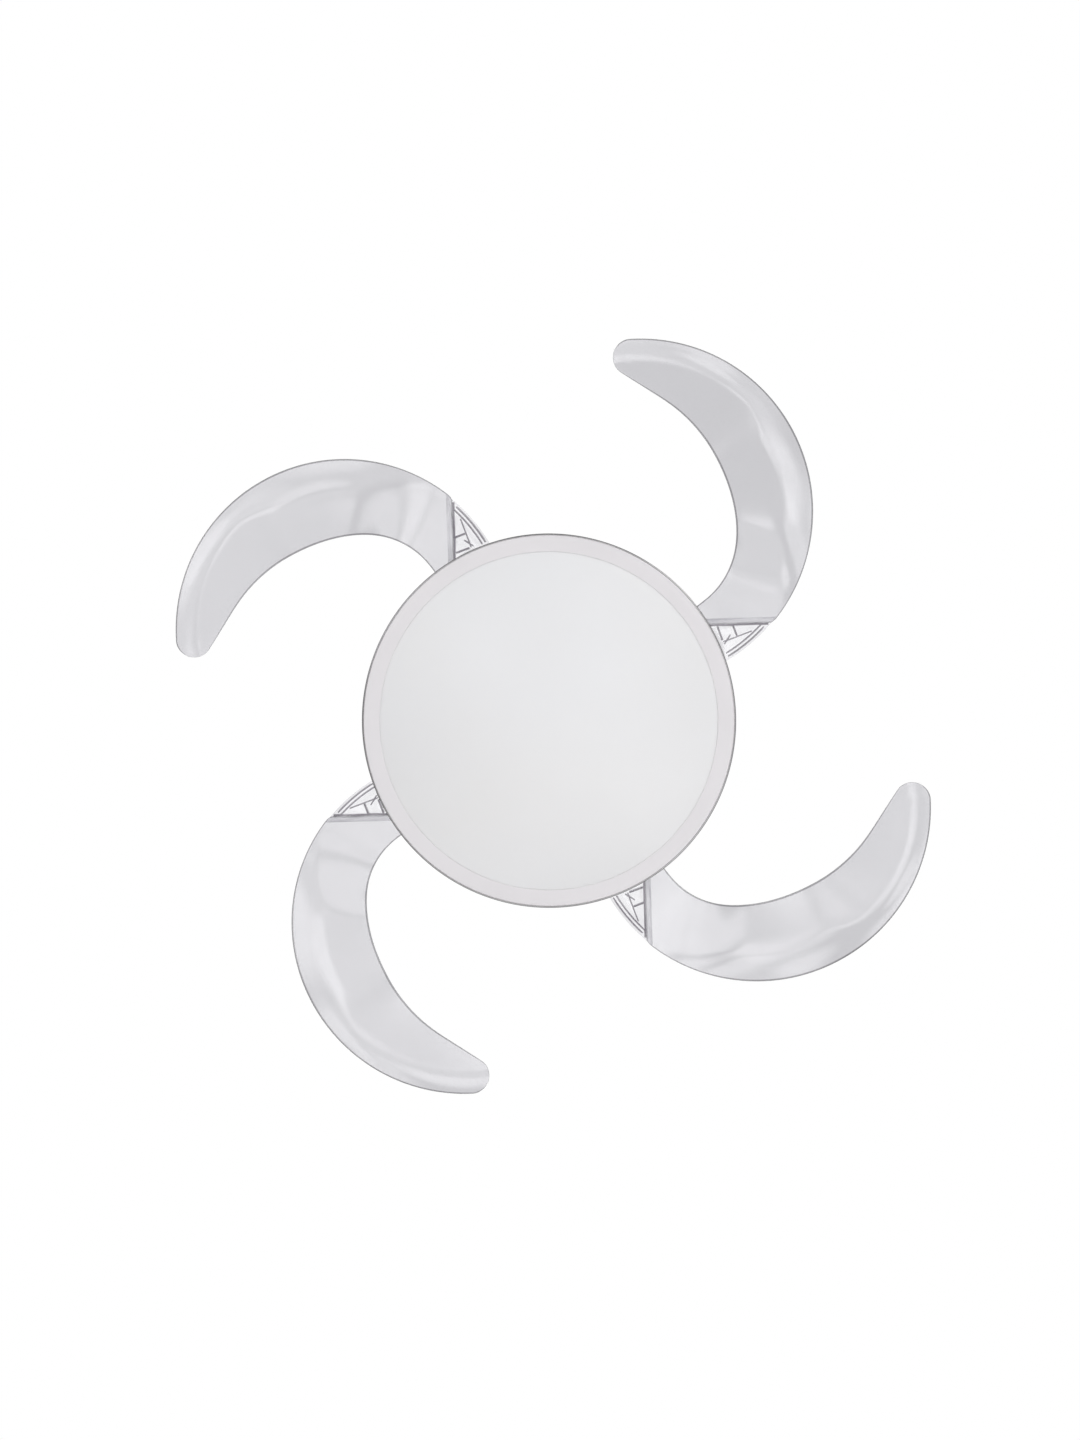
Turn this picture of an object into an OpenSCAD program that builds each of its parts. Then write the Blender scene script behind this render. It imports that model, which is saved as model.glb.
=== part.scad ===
// Ceiling fan whose four clear crescent blades fold away over a round light.
// Millimetres, +Z up. The origin is the centre of the hanger bracket's face on the ceiling.
// The blades are drawn swung out, as they are while the fan runs.

/* [Overall] */
// Circle swept by the tips of the open blades
sweep_d = 1212; // [1160:4:1260]
// Outer diameter of the light and of the folded fan
disc_d = 560; // [530:5:590]
// Depth of the ceiling canopy
canopy_h = 76; // [70:1:90]
// Length of rod that shows between canopy and coupler cover
rod_show = 50; // [40:5:400]

/* [Blades] */
// How far the folded blades' outer edge lies inside the light's edge
blade_inset = 16; // [12:1:24]
// How far the pivots lie inside the folded blades' outer edge
pivot_inset = 28; // [26:1:32]
// Widest part of a blade
blade_w = 120.8; // [110:0.4:124]
// Width of a blade near its root
blade_root_w = 96.5; // [88:0.5:100]
// How fast the blade narrows beyond its widest place
blade_narrow = 0.775; // [0.7:0.005:0.8]
// Radius of the rounded tip
blade_tip_r = 27; // [22:0.5:30]
// Direction of the tip's centre, seen from the fan's axis with the blades folded
blade_tip_a = 162; // [150:0.2:166]
// Angle at which the inner edge runs into the tip
blade_tip_side = 40; // [30:1:50]
// Thickness of the clear sheet
blade_t = 2.5; // [2:0.1:4]
// Climb of a folded blade above its neighbour, per degree round the fan
blade_climb = 0.25; // [0.22:0.01:0.3]
// Slope of the blade's outer lip, rising inwards
lip_slope = 0.3; // [0.16:0.01:0.34]
// Slope of the web between lip and inner edge
web_slope = 0.06; // [0:0.01:0.1]
// Width of the lip at the root's corner
lip_root_w = 12; // [6:1:20]
// Width of the lip in the middle of the blade
lip_w = 48; // [30:1:52]
// Width of the lip towards the tip
lip_tip_w = 33; // [20:1:36]
// How far the lip bows outwards between its edges
lip_bow = 1.2; // [0:0.1:2]
// Line where sheet and root meet: its distance from the pivot
root_line_in = 52.3; // [46:0.1:54]
// Line where sheet and root meet: its slant
root_skew = 18.9; // [14:0.1:22]
// Thickness of the root's plate
root_t = 2.5; // [2:0.1:4]
// Height of the ribs on the root's plate
rib_h = 6; // [3:0.5:7]
// Thickness of those ribs
rib_t = 2; // [1.5:0.1:3]

/* [Fold gear] */
// Teeth of the synchronising ring, a multiple of four
ring_teeth = 176; // [176:4:176]
// Teeth of a full circle of a blade arm's sector
arm_teeth = 60; // [60:1:60]
// Backlash left on each flank
backlash = 0.2; // [0.12:0.01:0.3]
// Thickness of the synchronising ring
ring_t = 4; // [3:0.1:4.5]
// Radial width of the ring under its teeth
ring_w = 13.5; // [10:0.5:16]
// Thickness of a blade arm
arm_t = 6; // [5:0.1:7]
// Radius of the pivot bush in the arm
bush_r = 8; // [7:0.1:9]
// Radius of a pivot pin
pin_r = 5; // [4:0.1:6]

/* [Motor] */
// Radius of the hollow motor shaft
shaft_r = 7.5; // [7:0.1:8]
// Radius of the rotor housing
rotor_r = 84; // [82:1:90]
// Height of the rotor housing
rotor_h = 66; // [64:1:76]
// Room between the rotor housing's flange and the fixed motor cover
cover_gap = 17.5; // [11:0.5:26]
// Depth of the fixed motor cover
cover_h = 44; // [36:1:48]
// Slots of the stator
slots = 12; // [9:3:18]
// Poles of the magnet ring
poles = 16; // [10:2:24]

/* [Light] */
// Depth of the light's pan
pan_h = 24; // [22:1:32]
// Width of the light's flat white ring
bezel_w = 23.5; // [18:0.5:32]
// How far the opal dome hangs below that ring
dome_h = 38; // [30:1:60]
// Thickness of the opal dome
dome_t = 2.5; // [2:0.1:3.5]

/* [Hanger] */
// Distance between the bracket's two slots
slot_gap = 88.9; // [80:0.1:100]
// Width of a slot
slot_w = 5.5; // [5:0.1:6.5]
// End-to-end length of a slot
slot_len = 12; // [9:0.5:14]
// Radius of the hanger ball
ball_r = 22; // [20:0.5:24]
// Height of the ball's centre below the ceiling
ball_drop = 52; // [50:1:58]
// Outer radius of the downrod
rod_r = 10.65; // [10:0.05:12]
// Wall of the downrod
rod_wall = 2; // [1.5:0.1:3]
// Radius of the canopy at the ceiling
canopy_r = 77; // [74:1:90]

/* [Hidden] */

$fn = 96;
gap = 0.3;            // clearance between neighbouring pieces
run_gap = 0.05;       // radial clearance of a running fit
eps = 0.01;           // overshoot of a cut

// Colours
white = [0.93, 0.93, 0.93];
steel = [0.72, 0.73, 0.75];
alloy = [0.8, 0.81, 0.82];
clear = [0.82, 0.84, 0.86, 0.45];
opal = [0.95, 0.95, 0.95];
copper = [0.75, 0.42, 0.24];
dark = [0.2, 0.2, 0.22];
bronze = [0.7, 0.52, 0.28];
chrome = [0.7, 0.7, 0.72];

// Plan of the folding blades
disc_r = disc_d / 2;
arc_r = disc_r - blade_inset;
pivot_r = arc_r - pivot_inset;
arc_out = sweep_d / 2 - arc_r;               // fan axis to arc centre, blade open
swing = 2 * asin(arc_out / 2 / pivot_r);     // fold angle of a blade
gear_m = 2 * pivot_r / (ring_teeth + arm_teeth);
ring_pr = gear_m * ring_teeth / 2;           // pitch radii
arm_pr = gear_m * arm_teeth / 2;
addendum = 0.9 * gear_m;
dedendum = 1.2 * gear_m;
pressure = 20;                               // pressure angle
tooth_margin = 10;                           // sector beyond its working arc, degrees of the arm
sector_from = 180 - tooth_margin;            // sector's ends with the blade open
sector_to = 180 + swing + tooth_margin;
ring_swing = swing * arm_teeth / ring_teeth;
ring_margin = tooth_margin * arm_teeth / ring_teeth + 1;

// Outline of the folded blade
root_slope = tan(root_skew);
line_x = pivot_r - root_line_in;             // where the root's line meets the pivot's radius
corner_y = -9;                               // inner corner of the sheet, along the blade
root_in_a = atan2(corner_y, on_line(corner_y)[0]);
root_out_y = (sqrt(pow(arc_r, 2) * (1 + pow(root_slope, 2)) - pow(line_x, 2))
    - line_x * root_slope) / (1 + pow(root_slope, 2));
root_out_a = asin(root_out_y / arc_r);       // outer corner of the sheet
corner_taper = blade_root_w - (arc_r - norm(on_line(corner_y)));
neck_a = 15;                                 // the root's width ends here
wide_a = 90;                                 // the blade's widest place
bend_a = 140;                                // the inner edge turns towards the tip from here
tip_centre = polar(arc_r - blade_tip_r, blade_tip_a);
tip_join = tip_centre + polar(blade_tip_r, blade_tip_a + 180 - blade_tip_side);
tip_join_a = atan2(tip_join[1], tip_join[0]);
tip_join_r = norm(tip_join);

// Heights along the axis
ball_z = -ball_drop;
rod_top = ball_z + 13;
bell_top = -canopy_h - rod_show;             // top of the coupler cover
bell_h = 52;
cover_top = bell_top - bell_h;               // top of the motor cover
coupler_top = bell_top - 12;
rod_low = coupler_top - 26;
rotor_top = cover_top - 24;
carrier_z = rotor_top - rotor_h;             // top face of the carrier plate
carrier_t = 2.5;
pan_gap = 5.5;                               // carrier to light pan
pan_top = carrier_z - carrier_t - pan_gap;
pan_t = 1.5;
pan_low = pan_top - pan_h;                   // lower edge of the pan
bezel_t = 3;
bezel_low = pan_low - 4;                     // face of the white ring
dome_low = bezel_low - dome_h;

// Heights above the carrier's top face
bush_flange = 1.5;
arm_z = bush_flange;
root_z = arm_z + arm_t;
panel_z = root_z + root_t;
ring_z = 2;
pin_top = panel_z + 9;                       // room for the return spring, washer and clip

// ---------- helpers ----------

function polar(r, a) = [r * cos(a), r * sin(a)];
function mix(a, b, t) = a * (1 - t) + b * t;
function clamp01(t) = max(0, min(1, t));
function smooth(t) = let (c = clamp01(t)) c * c * (3 - 2 * c);

// A tube between two heights
module tube(r_out, r_in, z0, z1) {
    translate([0, 0, z0]) difference() {
        cylinder(r = r_out, h = z1 - z0);
        translate([0, 0, -1]) cylinder(r = r_in, h = z1 - z0 + 2);
    }
}

// A solid cylinder between two heights
module rod(r, z0, z1) {
    translate([0, 0, z0]) cylinder(r = r, h = z1 - z0);
}

// A turned ring from its profile
module turned(points) {
    rotate_extrude() polygon(points);
}

// A part of a turned ring from angle a, w degrees wide
module turned_arc(points, a, w) {
    rotate([0, 0, a]) rotate_extrude(angle = w) polygon(points);
}

// Copies on a circle
module around(n, r, first = 0) {
    for (i = [0:n - 1]) rotate([0, 0, first + 360 * i / n]) translate([r, 0, 0]) children();
}

// A pan-head screw pointing down from its seat at z = 0
module screw(r, length, head_r, head_h) {
    difference() {
        rotate_extrude() polygon([[0, -length], [r - 0.4, -length], [r, -length + 0.5], [r, 0],
            [head_r, 0], [head_r, head_h * 0.6], [head_r * 0.7, head_h], [0, head_h]]);
        for (a = [0, 90]) rotate([0, 0, a])
            translate([-head_r * 0.55, -0.5, head_h * 0.5]) cube([head_r * 1.1, 1, head_h]);
    }
}

// Puts children, drawn in the folded plan, where blade k is when open
module blade_place(k, fold = 0) {
    rotate([0, 0, 90 * (k - 1)]) translate([pivot_r, 0, carrier_z])
        rotate([0, 0, swing + fold]) translate([-pivot_r, 0, 0]) children();
}

// Puts children at each pivot, above the carrier
module pivots() {
    for (k = [0:3]) rotate([0, 0, 90 * k]) translate([pivot_r, 0, carrier_z]) children();
}

// ---------- hanger ----------

ball_pin_r = 3;
bracket_w = 40;
bracket_t = 2.5;
arm_x = 33;                                  // inner face of the bracket's side arms
cup_in = ball_r + 2.6;
cup_out = cup_in + 2.5;
seat_out = cup_in - gap;
seat_in = ball_r + gap;
cup_top = ball_z - 5;
cup_low = ball_z - 16;
bracket_low = cup_low;
canopy_wall = 1.2;
canopy_screw_z = -12;
canopy_screw_r = 2.1;
tab_w = 18;
tab_x = sqrt(pow(canopy_r - canopy_wall - gap, 2) - pow(tab_w / 2, 2));

// Spherical shell zone between two heights
module zone(r_out, r_in, z0, z1) {
    intersection() {
        translate([0, 0, ball_z]) difference() {
            sphere(r = r_out);
            sphere(r = r_in);
        }
        translate([0, 0, z0]) cylinder(r = r_out + 1, h = z1 - z0);
    }
}

module hanger_bracket() {
    plate_len = slot_gap + slot_len + 12;
    color(steel) difference() {
        union() {
            translate([-plate_len / 2, -bracket_w / 2, -bracket_t])
                cube([plate_len, bracket_w, bracket_t]);
            translate([-tab_x, -tab_w / 2, -bracket_t])
                cube([2 * tab_x, tab_w, bracket_t]);
            for (s = [0, 1]) mirror([s, 0, 0])
                translate([tab_x - bracket_t, -tab_w / 2, canopy_screw_z - 7])
                    cube([bracket_t, tab_w, -canopy_screw_z + 7 - bracket_t / 2]);
            for (s = [0, 1]) mirror([s, 0, 0])
                translate([arm_x, -bracket_w / 2, bracket_low])
                    cube([bracket_t, bracket_w, -bracket_low - bracket_t / 2]);
            difference() {
                translate([-arm_x - 1, -bracket_w / 2, bracket_low])
                    cube([2 * arm_x + 2, bracket_w, bracket_t]);
                translate([0, 0, ball_z]) sphere(r = cup_in + 1);
            }
            zone(cup_out, cup_in, cup_low, cup_top);
        }
        translate([0, 0, canopy_screw_z]) rotate([0, 90, 0])
            cylinder(r = canopy_screw_r + 0.1, h = 3 * canopy_r, center = true);
        for (s = [-1, 1]) translate([s * slot_gap / 2, 0, -bracket_t - 1]) {
            for (e = [-1, 1]) translate([e * (slot_len - slot_w) / 2, 0, 0])
                cylinder(r = slot_w / 2, h = bracket_t + 2);
            translate([-(slot_len - slot_w) / 2, -slot_w / 2, 0])
                cube([slot_len - slot_w, slot_w, bracket_t + 2]);
        }
    }
}

module canopy() {
    wall = canopy_wall;
    rod_hole = 25;
    shoulder = 22;
    steps = 8;
    outer = [for (i = [0:steps]) let (a = 90 * i / steps)
        [canopy_r - shoulder + shoulder * cos(a), -canopy_h + shoulder - shoulder * sin(a)]];
    inner = [for (i = [steps:-1:0]) let (a = 90 * i / steps)
        [canopy_r - shoulder + (shoulder - wall) * cos(a),
         -canopy_h + shoulder - (shoulder - wall) * sin(a)]];
    color(white) difference() {
        turned(concat([[canopy_r, -1]], outer, [[rod_hole, -canopy_h],
            [rod_hole, -canopy_h + wall]], inner, [[canopy_r - wall, -1]]));
        translate([0, 0, canopy_screw_z]) rotate([0, 90, 0])
            cylinder(r = canopy_screw_r + 0.2, h = 3 * canopy_r, center = true);
    }
}

// Two screws that hold the canopy to the bracket's ears
module canopy_screws() {
    color(steel) for (a = [0, 180]) rotate([0, 0, a])
        translate([canopy_r + 0.1, 0, canopy_screw_z]) rotate([0, 90, 0])
            screw(canopy_screw_r, 10, 4, 2.2);
}

module receiver_box() {
    box_l = 88;
    box_w = 56;
    box_h = 20;
    z = -bracket_t - box_h;
    color(dark) difference() {
        translate([-box_w / 2, -box_l / 2, z]) cube([box_w, box_l, box_h]);
        for (s = [-1, 1]) translate([0, s * (box_l / 2 + 2), z + box_h / 2])
            cube([30, 8, 10], center = true);
        for (i = [-2:2]) translate([i * 9 - 1.5, -box_l / 2 + 14, z - 1])
            cube([3, box_l - 28, 1.8]);
    }
}

module terminal_block() {
    poles_n = 3;
    block_y = 30;
    color(white) translate([arm_x + bracket_t, -block_y / 2, -30]) difference() {
        cube([12, block_y, 14]);
        for (i = [0:poles_n - 1]) translate([6, 5 + 10 * i, -1]) cylinder(r = 2, h = 16);
    }
}

module ball_seat() {
    color(dark) zone(seat_out, seat_in, cup_low + 2, cup_top + 1);
}

module hanger_ball() {
    color(dark) difference() {
        intersection() {
            translate([0, 0, ball_z]) sphere(r = ball_r);
            rod(ball_r + 1, ball_z - 17, ball_z + 15);
        }
        rod(rod_r + 0.1, ball_z - ball_r - 1, ball_z + ball_r + 1);
        translate([0, 0, ball_z]) rotate([90, 0, 0])
            cylinder(r = ball_pin_r + 0.1, h = 60, center = true);
        translate([ball_r - 3, -3, ball_z - 20]) cube([5, 6, 40]);
    }
}

module ball_pin() {
    color(steel) translate([0, 0, ball_z]) rotate([90, 0, 0])
        cylinder(r = ball_pin_r, h = 2 * (ball_r - 1.5), center = true);
}

module downrod() {
    color(white) difference() {
        tube(rod_r, rod_r - rod_wall, rod_low, rod_top);
        for (p = [[ball_z, ball_pin_r], [coupler_pin_z, coupler_pin_r]])
            translate([0, 0, p[0]]) rotate([90, 0, 0])
                cylinder(r = p[1] + 0.1, h = 60, center = true);
    }
}

// ---------- coupler and motor cover ----------

coupler_r = 16;
coupler_pin_z = coupler_top - 14;
coupler_pin_r = 3;
set_screw_z = coupler_top - 5;
flange_t = 4;
flange_out = 34;
nose_r = 14;                                 // the coupler's nose in the cover's hole
cover_screw_at = 26;
cover_screw_a = 30;
coupler_low = cover_top - 8;
cover_t = 1.5;
flange_r = rotor_r + 9;                      // flange where the rotor housing's halves meet
cover_r = flange_r + cover_gap + cover_t;
shaft_top = rod_low - 4;

module coupler() {
    color(steel) difference() {
        union() {
            rod(coupler_r, cover_top, coupler_top);
            rod(flange_out, cover_top, cover_top + flange_t);
            rod(nose_r, coupler_low, cover_top + 1);
        }
        rod(rod_r + 0.1, rod_low, coupler_top + 1);
        rod(5.5, coupler_low - 1, rod_low + 1);
        rod(shaft_r + 0.1, coupler_low - 1, shaft_top + 0.2);
        translate([0, 0, coupler_pin_z]) rotate([90, 0, 0])
            cylinder(r = coupler_pin_r + 0.1, h = 60, center = true);
        translate([0, 0, set_screw_z]) rotate([0, 90, 0])
            cylinder(r = 2.6, h = 60, center = true);
        around(3, cover_screw_at, cover_screw_a) rod(2.1, cover_top - 1, cover_top + flange_t + 1);
    }
}

clip_at = 19.5;                              // clip's hole, from the middle of the pin

module coupler_pin() {
    color(steel) translate([0, 0, coupler_pin_z]) rotate([90, 0, 0]) difference() {
        cylinder(r = coupler_pin_r, h = 44, center = true);
        translate([0, 0, clip_at]) rotate([90, 0, 0]) cylinder(r = 1, h = 10, center = true);
    }
}

// Spring clip through the end of the coupler's pin
module coupler_clip() {
    wire = 0.85;
    color(chrome) translate([0, -clip_at, coupler_pin_z]) {
        translate([0, 0, -8]) cylinder(r = wire, h = 13);
        translate([4, 0, -7]) cylinder(r = wire, h = 8);
        translate([2, 0, -8]) rotate([90, 0, 0]) rotate([0, 0, 180])
            rotate_extrude(angle = 180) translate([2, 0]) circle(r = wire);
        translate([4, 0, -8]) cylinder(r = wire, h = 1.5);
    }
}

module coupler_set_screws() {
    color(dark) for (s = [0, 180]) rotate([0, 0, s])
        translate([rod_r + 0.1, 0, set_screw_z]) rotate([0, 90, 0]) difference() {
            cylinder(r = 2.5, h = 6);
            translate([0, 0, 4]) cylinder(r = 1.4, h = 3, $fn = 6);
        }
}

module coupler_cover() {
    wall = 1.3;
    low_r = 41;
    top_r = 19;
    hole_r = rod_r + gap;
    steps = 8;
    // Bell outline between top and foot
    function bell(i, d) = let (t = i / steps)
        [mix(low_r, top_r, pow(t, 0.6)) - d, cover_top + 0.1 + (bell_h - 0.1) * t * 0.94];
    outer = [for (i = [0:steps]) bell(i, 0)];
    inner = [for (i = [steps:-1:0]) bell(i, wall)];
    color(white) turned(concat(outer, [[top_r - 2, bell_top], [hole_r, bell_top],
        [hole_r, bell_top - wall], [top_r - 2 - wall, bell_top - wall]], inner));
}

module motor_cover() {
    shoulder = 14;
    steps = 6;
    low = cover_top - cover_h;
    function corner(i, d) = let (a = 90 - 90 * i / steps)
        [cover_r - shoulder + (shoulder - d) * cos(a),
         cover_top - shoulder + (shoulder - d) * sin(a)];
    hole_r = nose_r + 0.1;
    color(white) difference() {
        turned(concat([[hole_r, cover_top]], [for (i = [0:steps]) corner(i, 0)],
            [[cover_r, low], [cover_r - cover_t, low]],
            [for (i = [steps:-1:0]) corner(i, cover_t)], [[hole_r, cover_top - cover_t]]));
        around(3, cover_screw_at, cover_screw_a)
            rod(2.1, cover_top - cover_t - 1, cover_top + 1);
        around(24, cover_r - 16, 7.5) rod(3, cover_top - 30, cover_top + 1);
    }
}

// Screws from the coupler's flange into the motor cover
module cover_screws() {
    color(steel) around(3, cover_screw_at, cover_screw_a)
        translate([0, 0, cover_top + flange_t]) screw(2, flange_t + cover_t + 4, 3.8, 2.2);
}

// ---------- motor ----------

boss_r = shaft_r + 14.5;
bearing_r = shaft_r + 10;
bearing_w = 11;
hub_bore = shaft_r + 1.5;                    // hole of the rotor housing round the shaft
magnet_t = 4.5;
air_gap = 0.8;
yoke_t = 7.3;
shell_t = 5.3;                               // wall of the rotor housing
stator_r = rotor_r - shell_t - yoke_t - magnet_t - air_gap - 0.1;
stator_hub = 34;
stator_t = 26;
stator_mid = rotor_top - rotor_h / 2;
magnet_in = stator_r + air_gap;
magnet_out = magnet_in + magnet_t;
yoke_out = rotor_r - shell_t;
shell_in = yoke_out + gap;
plate_t = 3;                                 // pan bracket
shaft_step = pan_top + plate_t;              // shoulder that the pan bracket sits under
thread_r = shaft_r - 1.5;
shaft_low = pan_top - pan_t - 9;
upper_bearing = rotor_top - 5;
lower_bearing = carrier_z + 2 + bearing_w;
split_z = stator_mid;

module motor_shaft() {
    bore = 4.5;
    color(steel) difference() {
        union() {
            rod(shaft_r, shaft_step, shaft_top);
            rod(thread_r, shaft_low, shaft_step + 1);
            rod(shaft_r + 2, upper_bearing - bearing_w - 4, upper_bearing - bearing_w - gap);
        }
        rod(bore, shaft_low - 1, shaft_top + 1);
        translate([0, 0, coupler_low + 10]) rotate([90, 0, 0])
            cylinder(r = 2, h = 40, center = true);
    }
}

// One of the stator's teeth with its pole shoe
module stator_tooth() {
    shoe = stator_r - 4;
    translate([stator_hub - 4, -4.5, -stator_t / 2])
        cube([shoe + 1 - stator_hub + 4, 9, stator_t]);
    turned_arc([[shoe, -stator_t / 2], [stator_r, -stator_t / 2], [stator_r, stator_t / 2],
        [shoe, stator_t / 2]], -150 / slots, 300 / slots);
}

module stator_core() {
    color(steel) translate([0, 0, stator_mid]) difference() {
        union() {
            tube(stator_hub, shaft_r + 0.02, -stator_t / 2, stator_t / 2);
            for (i = [0:slots - 1]) rotate([0, 0, 360 / slots * i]) stator_tooth();
        }
        around(4, 24, 45) rod(5, -stator_t, stator_t);
    }
}

// One coil wound round a tooth
module coil() {
    grow = 4;
    width = 9.6;
    height = stator_t + 0.6;
    length = stator_r - 6 - stator_hub - 2;
    difference() {
        translate([stator_hub + 2, -width / 2 - grow, -height / 2 - grow])
            cube([length, width + 2 * grow, height + 2 * grow]);
        translate([stator_hub + 1, -width / 2, -height / 2]) cube([length + 2, width, height]);
        for (s = [-1, 1]) rotate([0, 0, s * 180 / slots])
            translate([30, s > 0 ? -0.3 : -20, -40]) cube([12, 20.3, 80]);
    }
}

module stator_windings() {
    color(copper) translate([0, 0, stator_mid])
        for (i = [0:slots - 1]) rotate([0, 0, 360 / slots * i]) intersection() {
            coil();
            rotate([0, 0, -180 / slots + 0.4]) rotate_extrude(angle = 360 / slots - 0.8)
                translate([stator_hub + 0.5, -40]) square([stator_r, 80]);
        }
}

module rotor_ring() {
    color(steel) tube(yoke_out, magnet_out + 0.1, stator_mid - 16, stator_mid + 16);
}

module rotor_magnets() {
    seam = 1.2;
    color(dark) for (i = [0:poles - 1])
        turned_arc([[magnet_in, stator_mid - 14], [magnet_out, stator_mid - 14],
            [magnet_out, stator_mid + 14], [magnet_in, stator_mid + 14]],
            360 / poles * i + seam / 2, 360 / poles - seam);
}

// A deep-groove ball bearing with its top face at z
module bearing(z) {
    ball = 2.6;
    mid = (shaft_r + bearing_r) / 2 - 0.1;
    half = bearing_w / 2;
    translate([0, 0, z - half]) {
        difference() {
            tube(bearing_r - 0.02, mid + 1.4, -half, half);
            rotate_extrude() translate([mid, 0]) circle(r = ball + 0.1);
        }
        difference() {
            tube(mid - 1.4, shaft_r + run_gap, -half, half);
            rotate_extrude() translate([mid, 0]) circle(r = ball + 0.1);
        }
        around(8, mid) sphere(r = ball, $fn = 32);
    }
}

module bearings() {
    color(chrome) {
        bearing(upper_bearing);
        bearing(lower_bearing);
    }
}

flange_half = 3;
flange_screw_at = rotor_r + 5;
vent_at = rotor_r - 29;                      // ring of vent holes
foot_r = rotor_r + 28;                       // foot that the carrier is screwed to
carrier_screw_at = foot_r - 8;
carrier_screw_a = 30;

module rotor_housing_upper() {
    shoulder = 8;
    top_in = rotor_top - 5;
    color(alloy) difference() {
        union() {
            turned([[hub_bore, rotor_top], [rotor_r - shoulder, rotor_top], [rotor_r, rotor_top - shoulder],
                [rotor_r, split_z + flange_half], [flange_r, split_z + flange_half],
                [flange_r, split_z], [shell_in, split_z], [shell_in, top_in - 4],
                [shell_in - 4, top_in], [hub_bore, top_in]]);
            rod(boss_r, upper_bearing - bearing_w, rotor_top + 3);
        }
        rod(hub_bore, rotor_top - 40, rotor_top + 4);
        rod(bearing_r, upper_bearing - bearing_w - 1, upper_bearing);
        around(12, vent_at) rod(7, top_in - 1, rotor_top + 1);
        around(6, flange_screw_at) rod(2.1, split_z - 1, split_z + flange_half + 1);
    }
}

module rotor_housing_lower() {
    foot_t = 4;
    floor_t = 5;
    color(alloy) difference() {
        union() {
            turned([[hub_bore, carrier_z], [foot_r, carrier_z], [foot_r, carrier_z + foot_t],
                [rotor_r, carrier_z + foot_t], [rotor_r, split_z - flange_half],
                [flange_r, split_z - flange_half], [flange_r, split_z], [shell_in, split_z],
                [shell_in, carrier_z + floor_t], [hub_bore, carrier_z + floor_t]]);
            rod(boss_r, carrier_z, lower_bearing);
        }
        rod(hub_bore, carrier_z - 1, carrier_z + 40);
        rod(bearing_r, lower_bearing - bearing_w, lower_bearing + 1);
        around(12, vent_at) rod(7, carrier_z - 1, carrier_z + floor_t + 1);
        around(6, flange_screw_at) rod(2.1, split_z - flange_half - 1, split_z + 1);
        around(6, carrier_screw_at, carrier_screw_a)
            rod(2.6, carrier_z - 1, carrier_z + foot_t + 1);
    }
}

module housing_screws() {
    color(steel) around(6, flange_screw_at) translate([0, 0, split_z + flange_half])
        screw(2, 2 * flange_half + 2, 3.4, 2);
}

// ---------- carrier and fold gear ----------

carrier_r = arc_r - 2;
carrier_in = foot_r - 15;
bumper_r = 4;
bumper_stud_r = 1.5;
bumper_at = arm_pr - 10;
bumper_turn = asin((bumper_r + gap) / bumper_at);
bumper_open_a = sector_to + bumper_turn;
bumper_shut_a = sector_from - swing - bumper_turn;
ring_root = ring_pr - dedendum;
ring_in = ring_root - ring_w;
hub_boss = bush_r + 3.7;
spring_r = hub_boss + 2.2;
spring_wire = 1.5;

// Lightening window between two radii, w degrees wide
module carrier_window(r0, r1, a, w) {
    low = carrier_z - carrier_t - 2;
    high = carrier_z + 1;
    turned_arc([[r0, low], [r1, low], [r1, high], [r0, high]], a, w);
}

module carrier_plate() {
    color(white) difference() {
        union() {
            tube(carrier_r, carrier_in, carrier_z - carrier_t, carrier_z);
            tube(carrier_r, carrier_r - 2, carrier_z - carrier_t - 1.5, carrier_z);
        }
        pivots() rod(pin_r + 0.02, -carrier_t - 1, 1);
        pivots() for (a = [bumper_open_a, bumper_shut_a]) rotate([0, 0, a])
            translate([bumper_at, 0, 0]) rod(bumper_stud_r + 0.05, -carrier_t - 2, 1);
        around(6, carrier_screw_at, carrier_screw_a)
            rod(2.6, carrier_z - carrier_t - 1, carrier_z + 1);
        for (i = [0:7]) carrier_window(foot_r + 8, ring_in - 17, 45 * i + 6, 33);
        for (i = [0:3]) carrier_window(ring_pr + 10, pivot_r - 12, 90 * i + 27, 36);
    }
}

module carrier_screws() {
    color(steel) around(6, carrier_screw_at, carrier_screw_a)
        translate([0, 0, carrier_z - carrier_t])
        rotate([180, 0, 0]) screw(2.5, carrier_t + 5, 4.6, 2.4);
}

// Shouldered pins riveted through the carrier
module pivot_pins() {
    color(steel) pivots() difference() {
        union() {
            rod(pin_r, -carrier_t, pin_top);
            rod(pin_r + 3, -carrier_t - 2, -carrier_t);
        }
        tube(pin_r + 1, pin_r - 1, pin_top - 2.1, pin_top - 1);
    }
}

module pivot_bushes() {
    color(bronze) pivots() {
        tube(bush_r, pin_r + 0.02, 0, pin_top - 3.2);
        tube(bush_r + 4, bush_r - 1, 0, bush_flange - run_gap);
    }
}

// Washer and spring clip on each pin
module pivot_clips() {
    color(chrome) pivots() {
        tube(spring_r + 1.6, pin_r + 0.1, pin_top - 3.1, pin_top - 2.1);
        difference() {
            tube(pin_r + 4, pin_r - 0.95, pin_top - 2.05, pin_top - 1.05);
            translate([0, -2.5, 0]) cube([20, 5, pin_top]);
        }
    }
}

module stop_bumpers() {
    color(dark) pivots() for (a = [bumper_open_a, bumper_shut_a])
        rotate([0, 0, a]) translate([bumper_at, 0, 0]) {
            rod(bumper_r, 0, arm_z + arm_t - 0.5);
            rod(bumper_stud_r, -carrier_t - 1, 0.5);
        }
}

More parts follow.
